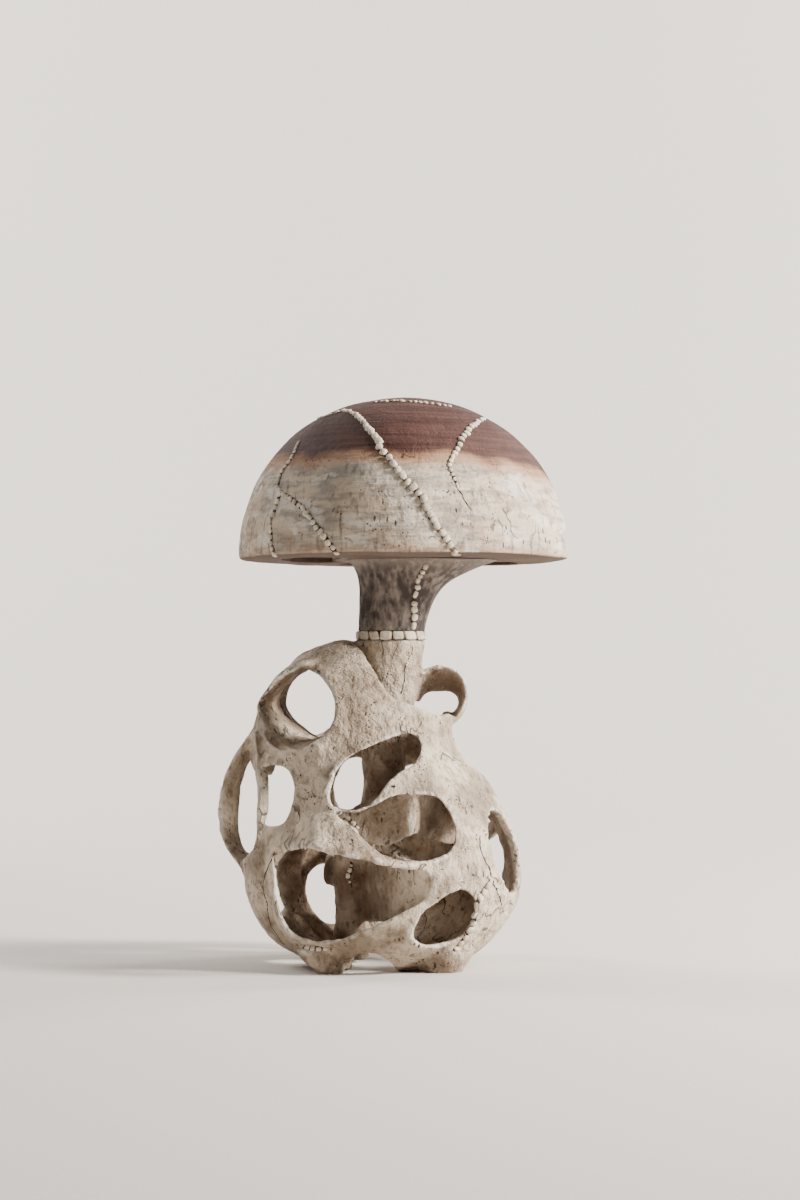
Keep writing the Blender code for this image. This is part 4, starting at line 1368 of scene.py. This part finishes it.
@dataclass
class Seam:
    """A crack in the clay, with small stones pressed into it."""

    name: str
    side: Side
    # Across and up, in millimetres, as drawn on an upright sheet through the middle of the sculpture
    route: tuple[Point, ...]
    # The stones' width along the route, in millimetres. 0 leaves a bare crack
    widths: tuple[float, ...]
    seed: int

    def places(self, tree: BVHTree, step: float) -> list[Place]:
        """Lay the route on a surface.

        Args:
            tree: The surface.
            step: How far apart the places are, in metres.

        Returns:
            Each place and the way that the surface faces there.
        """
        eye = Vector((EYE.x, EYE.y * -self.side.value, EYE.z))
        found: list[Place] = []
        gone = 0.0
        last: Vector | None = None
        for x, z in along(self.route, 12):
            target = Vector((x * MM, 0.0, z * MM))
            hit, normal, _, _ = tree.ray_cast(eye, (target - eye).normalized())
            if hit is None:
                continue
            if last is not None:
                gone += (hit - last).length
                if (hit - last).length > JUMP:
                    last = hit
                    continue
            if last is None or gone >= step:
                found.append((hit, normal))
                gone = 0.0
            last = hit
        return found

    def width_at(self, share: float) -> float:
        """Return the stones' width at a share of the route."""
        return spline([(value,) for value in self.widths], share * (len(self.widths) - 1))[0]


@dataclass
class Heap:
    """Points and faces that small shapes are added to, until they become one piece."""

    points: list[Point] = field(default_factory=list)
    faces: list[tuple[int, ...]] = field(default_factory=list)
    crowns: list[float] = field(default_factory=list)

    def tube(self, before: int | None, start: int, count: int) -> None:
        """Join a ring of points to the one before, or close the tube's first end with it."""
        if before is None:
            self.faces.append(tuple(start + number for number in range(count)))
            return
        for number in range(count):
            after = (number + 1) % count
            self.faces.append((before + number, start + number, start + after, before + after))

    def close(self, ring: int | None, count: int) -> None:
        """Close a tube at its last ring."""
        if ring is not None:
            self.faces.append(tuple(ring + number for number in range(count))[::-1])

    def piece(self, name: str) -> bpy.types.Object:
        """Make one smooth piece of the heap."""
        item = mesh_piece(name, self.points, [], self.faces)
        item.data.shade_smooth()
        return item


@dataclass
class SeamLayer:
    """Lays the stones and the dark slip of a set of seams on one surface."""

    name: str
    seams: tuple[Seam, ...]
    step: float = 0.0025
    break_at: float = 0.012

    # The stones, as shares of the seam's width there
    least_width: float = 0.0022
    skip: float = 0.004
    length: Point = (0.72, 1.35)
    breadth: Point = (0.85, 1.1)
    tallness: Point = (0.30, 0.40)
    lift: float = 0.10
    spacing: float = 0.42
    stray: float = 0.12
    lumps: float = 0.09
    twist: float = 0.35
    squareness: float = 0.62

    # The slip: half its width round stones and in bare cracks, how it varies, and its profile
    slip_margin: float = 0.0004
    crack_half: float = 0.0007
    slip_uneven: Point = (-0.0003, 0.0004)
    slip_jog: float = 0.0006
    slip_end: float = 0.4
    slip_reach: float = 0.004
    slip_profile: tuple[Point, ...] = (
        (-1.0, -0.0012), (-0.75, 0.00035), (0.0, 0.00055), (0.75, 0.00035), (1.0, -0.0012), (0.0, -0.002))

    def pebble(self) -> tuple[np.ndarray, list[tuple[int, ...]]]:
        """Model one pebble, which every stone of the seams is a copy of."""
        deselect()
        bpy.ops.mesh.primitive_ico_sphere_add(subdivisions=2, radius=1.0)
        item = bpy.context.active_object
        places = np.array([tuple(v.co) for v in item.data.vertices])
        faces = [tuple(p.vertices) for p in item.data.polygons]
        bpy.data.objects.remove(item, do_unlink=True)
        return np.sign(places) * np.abs(places) ** self.squareness, faces

    def build(self, tree: BVHTree) -> list[bpy.types.Object]:
        """Build the stones and the slip.

        Args:
            tree: The surface that they lie on.

        Returns:
            The stones, then the slip.
        """
        pebble = self.pebble()
        stones, slip = Heap(), Heap()
        for seam in self.seams:
            chance = random.Random(seam.seed)
            places = seam.places(tree, self.step)
            self.add_slip(seam, places, chance, tree, slip)
            self.add_stones(seam, places, chance, pebble, stones)
        made = [stones.piece(f"{self.name}_stones"), slip.piece(f"{self.name}_slip")]
        # The crown mark sets each stone's painted shade, darker towards its foot
        mark = made[0].data.attributes.new("crown", "FLOAT", "POINT")
        mark.data.foreach_set("value", np.array(stones.crowns, np.float32))
        return made

    @staticmethod
    def ways(places: Sequence[Place], index: int) -> tuple[Vector, Vector]:
        """Return the ways along and across a seam at one of its places."""
        normal = places[index][1]
        onward = places[index + 1][0] - places[index - 1][0]
        onward = (onward - normal * onward.dot(normal)).normalized()
        return onward, normal.cross(onward)

    def add_stones(self, seam: Seam, places: Sequence[Place], chance: random.Random,
                   pebble: tuple[np.ndarray, list[tuple[int, ...]]], heap: Heap) -> None:
        """Set stones one after another along a seam.

        Args:
            seam: The seam.
            places: Places close together along it.
            chance: The source of the stones' small differences.
            pebble: The pebble's points and faces.
            heap: The heap that the stones are added to.
        """
        if max(seam.widths) <= 0 or len(places) < 4:
            return
        shape, faces = pebble
        ahead = 0.0
        for index in range(1, len(places) - 1):
            step = (places[index][0] - places[index - 1][0]).length
            ahead -= step
            if ahead > 0 or step > self.break_at:
                continue
            width = seam.width_at(index / (len(places) - 1)) * MM
            if width < self.least_width:
                ahead = self.skip
                continue
            place, normal = places[index]
            onward, sideways = self.ways(places, index)
            length = width * chance.uniform(*self.length)
            broad = width * chance.uniform(*self.breadth)
            tall = width * chance.uniform(*self.tallness)
            twist = chance.uniform(-self.twist, self.twist)
            turned = onward * math.cos(twist) + sideways * math.sin(twist)
            aside = normal.cross(turned)
            stray = chance.uniform(-self.stray, self.stray)
            centre = place + normal * tall * self.lift + sideways * stray * width
            start = len(heap.points)
            for x, y, z in shape:
                lump = 1.0 + chance.uniform(-self.lumps, self.lumps)
                heap.points.append(tuple(centre + turned * (x * length * 0.5 * lump)
                                         + aside * (y * broad * 0.5 * lump) + normal * (z * tall * lump)))
                heap.crowns.append(float(z))
            heap.faces.extend(tuple(start + number for number in face) for face in faces)
            ahead = length * 0.5 + width * self.spacing

    def add_slip(self, seam: Seam, places: Sequence[Place], chance: random.Random, tree: BVHTree,
                 heap: Heap) -> None:
        """Lay the dark slip under a seam's stones, and on into its bare cracks.

        Args:
            seam: The seam.
            places: Places close together along it.
            chance: The source of the slip's uneven edges.
            tree: The surface.
            heap: The heap that the slip is added to.
        """
        count = len(self.slip_profile)
        ring_before: int | None = None
        last: Vector | None = None
        for index in range(1, len(places) - 1):
            place, normal = places[index]
            if last is not None and (place - last).length > self.break_at:
                heap.close(ring_before, count)
                ring_before = None
            last = place
            _, sideways = self.ways(places, index)
            width = max(seam.width_at(index / (len(places) - 1)) * MM, 0.0)
            half = width * 0.5 + self.slip_margin if width >= self.least_width else self.crack_half
            half += chance.uniform(*self.slip_uneven)
            if index in (1, len(places) - 2):
                half *= self.slip_end
            jog = sideways * chance.uniform(-self.slip_jog, self.slip_jog)
            start = len(heap.points)
            for share, rise in self.slip_profile:
                spot = place + jog + sideways * half * share
                near = tree.find_nearest(spot)[0]
                if near is None or (near - spot).length > self.slip_reach:
                    near = spot
                heap.points.append(tuple(near + normal * rise))
            heap.tube(ring_before, start, count)
            ring_before = start
        heap.close(ring_before, count)

    def dress(self, pieces: Sequence[bpy.types.Object], stone: bpy.types.Material,
              slip: bpy.types.Material) -> None:
        """Install the stones and the slip in their finishes."""
        for item, finish in zip(pieces, (stone, slip)):
            face_out(item)
            install(item, finish, Slot.WHITE_STONE.value)


CAP_SEAMS = (
    Seam("main", Side.FRONT,
         ((-93, 617), (-80, 620), (-58, 627), (-45, 623), (-36, 615), (-26, 604), (-17, 594), (-16, 585),
          (-4, 573), (6, 559), (14, 549), (31, 530), (43, 506), (55, 488), (68, 469), (72, 464)),
         (5.0, 6.0, 7.5, 8.0, 8.5, 7.5, 7.0), 3),
    Seam("right", Side.FRONT,
         ((106, 620), (91, 611), (79, 597), (71, 581), (64, 568), (66, 557), (73, 541), (83, 522), (91, 512)),
         (5.0, 6.5, 7.0, 5.5, 3.0, 0.0), 4),
    Seam("left", Side.FRONT,
         ((-108, 593), (-117, 573), (-128, 557), (-133, 541), (-130, 534), (-133, 522), (-141, 500),
          (-140, 488), (-139, 474), (-135, 461)),
         (4.0, 5.5, 6.0, 6.0, 5.5, 5.0), 5),
    Seam("low_left", Side.FRONT,
         ((-130, 534), (-121, 529), (-107, 519), (-95, 504), (-83, 488), (-72, 474), (-64, 464)),
         (5.0, 6.0, 6.5, 7.0, 5.0), 6),
    Seam("crown", Side.FRONT, ((-24, 637), (0, 638.5), (30, 637), (68, 632)), (4.5, 5.0, 5.0, 4.0), 7),
    Seam("back_main", Side.BACK,
         ((-60, 627), (-40, 612), (-22, 590), (-14, 566), (2, 545), (10, 520), (4, 495), (14, 464)),
         (5.0, 7.0, 7.5, 8.0, 7.0, 6.0), 8),
    Seam("back_side", Side.BACK,
         ((98, 612), (112, 590), (118, 565), (130, 540), (134, 515), (128, 490), (134, 464)),
         (4.0, 6.0, 6.5, 6.0, 3.0, 0.0), 9),
    Seam("back_left", Side.BACK, ((-96, 600), (-118, 572), (-122, 548), (-138, 520), (-146, 500)),
         (4.5, 6.0, 6.0, 4.0, 0.0), 10),
)

UPPER_STEM_SEAMS = (
    Seam("stem_front", Side.FRONT,
         ((38, 452), (34, 447), (31, 440), (27, 433), (26, 425), (24, 417), (23, 398), (22, 387), (22, 379)),
         (6.0, 6.5, 7.0, 7.5, 7.0), 21),
    Seam("stem_back", Side.BACK, ((-26, 452), (-18, 436), (-12, 418), (-14, 400), (-10, 380)),
         (5.0, 7.0, 7.0, 6.0), 22),
)

BODY_SEAMS = (
    Seam("stem_crack", Side.FRONT, ((22, 363), (20, 349), (13, 334), (12, 321), (9, 309), (7, 301)),
         (0.0, 3.0, 0.0, 0.0), 31),
    Seam("foot_crack", Side.FRONT, ((-51, 118), (-48, 109), (-52, 97), (-45, 80)), (0.0, 5.0, 4.0, 0.0), 32),
    Seam("right", Side.FRONT,
         ((98, 148), (99, 126), (111, 99), (103, 83), (95, 67), (89, 43), (75, 21), (66, 12)),
         (0.0, 0.0, 5.0, 8.5, 8.0, 7.5, 5.0), 33),
    Seam("right_branch", Side.FRONT, ((106, 98), (115, 88), (124, 61)), (4.0, 3.0, 0.0), 34),
    Seam("left", Side.FRONT, ((-135, 127), (-148, 91), (-144, 67), (-140, 44), (-124, 19)),
         (0.0, 0.0, 2.5, 0.0, 0.0), 35),
    Seam("left_foot", Side.FRONT, ((-107, 19), (-92, 16), (-73, 15)), (4.0, 6.0, 4.0), 36),
    Seam("fold", Side.FRONT, ((-64, 171), (-52, 163), (-39, 151)), (5.0, 6.0, 3.0), 37),
    Seam("fold_crack", Side.FRONT, ((-6, 201), (0, 200), (7, 204)), (0.0, 3.0, 0.0), 38),
    Seam("stem_back", Side.BACK, ((-6, 363), (-2, 345), (4, 328), (0, 312)), (0.0, 3.0, 0.0), 39),
    Seam("back_right", Side.BACK, ((-96, 150), (-104, 128), (-100, 104), (-96, 80), (-84, 52)),
         (0.0, 6.0, 7.5, 6.0, 3.0), 40),
    Seam("back_left", Side.BACK, ((64, 236), (76, 214), (84, 190), (80, 168)), (0.0, 5.0, 6.0, 0.0), 41),
)


# ---------------------------------------------------------------- the studio


@dataclass
class Studio:
    """A pale floor with a curved backdrop, soft lights and the camera."""

    floor_half_width: float = 7.0
    floor_front: float = -7.0
    floor_back: float = 5.0
    backdrop_height: float = 7.0
    backdrop_curve: float = 2.5
    air: Point = (0.95, 0.91, 0.86, 1)
    air_strength: float = 0.15

    # Each lamp's name, place, size, watts, colour and the place that it looks at
    lamps: tuple[tuple[Any, ...], ...] = (
        ("key", (2.95, -0.75, 1.75), 0.7, 400.0, (1.0, 0.95, 0.89), (0.0, 0.0, 0.32)),
        ("fill", (-2.6, -2.2, 1.3), 2.4, 6.0, (1.0, 0.93, 0.85), (0.0, 0.0, 0.32)),
        ("top", (0.4, 0.6, 2.9), 1.4, 8.0, (1.0, 0.98, 0.96), (0.0, 0.0, 0.32)),
        ("wall", (-3.2, 2.2, 3.2), 2.0, 330.0, (1.0, 0.975, 0.95), (0.5, 5.0, 1.2)),
        ("wall", (3.2, 2.2, 3.2), 2.0, 330.0, (1.0, 0.975, 0.95), (-0.5, 5.0, 1.2)),
    )

    def sweep(self) -> None:
        """Build the floor, which curves up into the backdrop."""
        deselect()
        middle_y = (self.floor_front + self.floor_back) / 2
        bpy.ops.mesh.primitive_plane_add(size=1.0, location=(0, 0, 0))
        item = bpy.context.active_object
        item.name = "studio_sweep"
        with editing(item):
            bpy.ops.transform.resize(value=(2 * self.floor_half_width, self.floor_back - self.floor_front, 1))
            bpy.ops.transform.translate(value=(0, middle_y, 0))
            bpy.ops.mesh.select_mode(type="EDGE")
            bpy.ops.mesh.select_all(action="DESELECT")
        for edge in item.data.edges:
            edge.select = all(item.data.vertices[v].co.y > middle_y for v in edge.vertices)
        with editing(item, None):
            bpy.ops.mesh.extrude_region_move(
                TRANSFORM_OT_translate={"value": (0, 0, self.backdrop_height)})
        modify(item, "BEVEL", width=self.backdrop_curve, segments=24, affect="EDGES", limit_method="ANGLE")
        item.data.shade_smooth()
        item.data.materials.append(StudioPaper().make("studio_paper"))

    def lamp(self, name: str, place: Point, size: float, power: float, tint: Point,
             target: Point) -> None:
        """Hang a soft square light.

        Args:
            name: Its name.
            place: Where it hangs.
            size: The length of its side.
            power: Its power, in watts.
            tint: Its colour.
            target: What it looks at.
        """
        light = bpy.data.lights.new(name, "AREA")
        light.shape = "SQUARE"
        light.size = size
        light.energy = power
        light.color = tint
        item = put(name, light)
        item.location = place
        item.rotation_euler = (Vector(target) - Vector(place)).to_track_quat("-Z", "Y").to_euler()

    def light(self) -> None:
        """Light the sculpture from the right, with a soft fill from the left."""
        for lamp in self.lamps:
            self.lamp(*lamp)
        world = bpy.data.worlds.new("studio_air")
        bpy.context.scene.world = world
        world.use_nodes = True
        background = world.node_tree.nodes["Background"]
        background.inputs["Color"].default_value = self.air
        background.inputs["Strength"].default_value = self.air_strength

    def camera(self) -> None:
        """Set the camera at the front, a little below the cap."""
        lens = bpy.data.cameras.new("camera")
        lens.lens = LENS
        lens.sensor_width = SENSOR
        item = put("camera", lens)
        item.location = EYE
        item.rotation_euler = (math.pi / 2 + EYE_TILT, 0, 0)
        bpy.context.scene.camera = item

    def build(self) -> None:
        """Set up the whole studio."""
        self.camera()
        self.light()
        self.sweep()


# ---------------------------------------------------------------- the sculpture


def main() -> None:
    """Build the sculpture piece by piece, and the studio around it."""
    logging.basicConfig(level=logging.INFO, format="%(name)s: %(message)s")
    Studio().build()
    pebble = Pebble().make("pressed_pebble")
    grout = DarkGrout().make("dark_slip")

    body = OpenworkBody()
    clay = body.build()
    body_tree = surface_of(clay)
    body.dress(clay, PaleClay().make("pale_stoneware"))

    stem = UpperStem()
    washed = stem.build()
    stem_tree = surface_of(washed)
    stem.dress(washed, DarkWash().make("dark_washed_clay"))

    cap = DomeCap()
    dome = cap.build()
    cap_tree = surface_of(dome)
    cap.dress(dome, CapGlaze().make("plum_glaze"))

    joint = JointRing()
    joint.dress(joint.build(), pebble)
    install(joint.slip(), grout, Slot.WHITE_STONE.value)

    for name, seams, tree in (("cap_seam", CAP_SEAMS, cap_tree), ("stem_seam", UPPER_STEM_SEAMS, stem_tree),
                              ("body_seam", BODY_SEAMS, body_tree)):
        layer = SeamLayer(name, seams)
        layer.dress(layer.build(tree), pebble, grout)

    deselect()


if __name__ == "__main__":
    main()
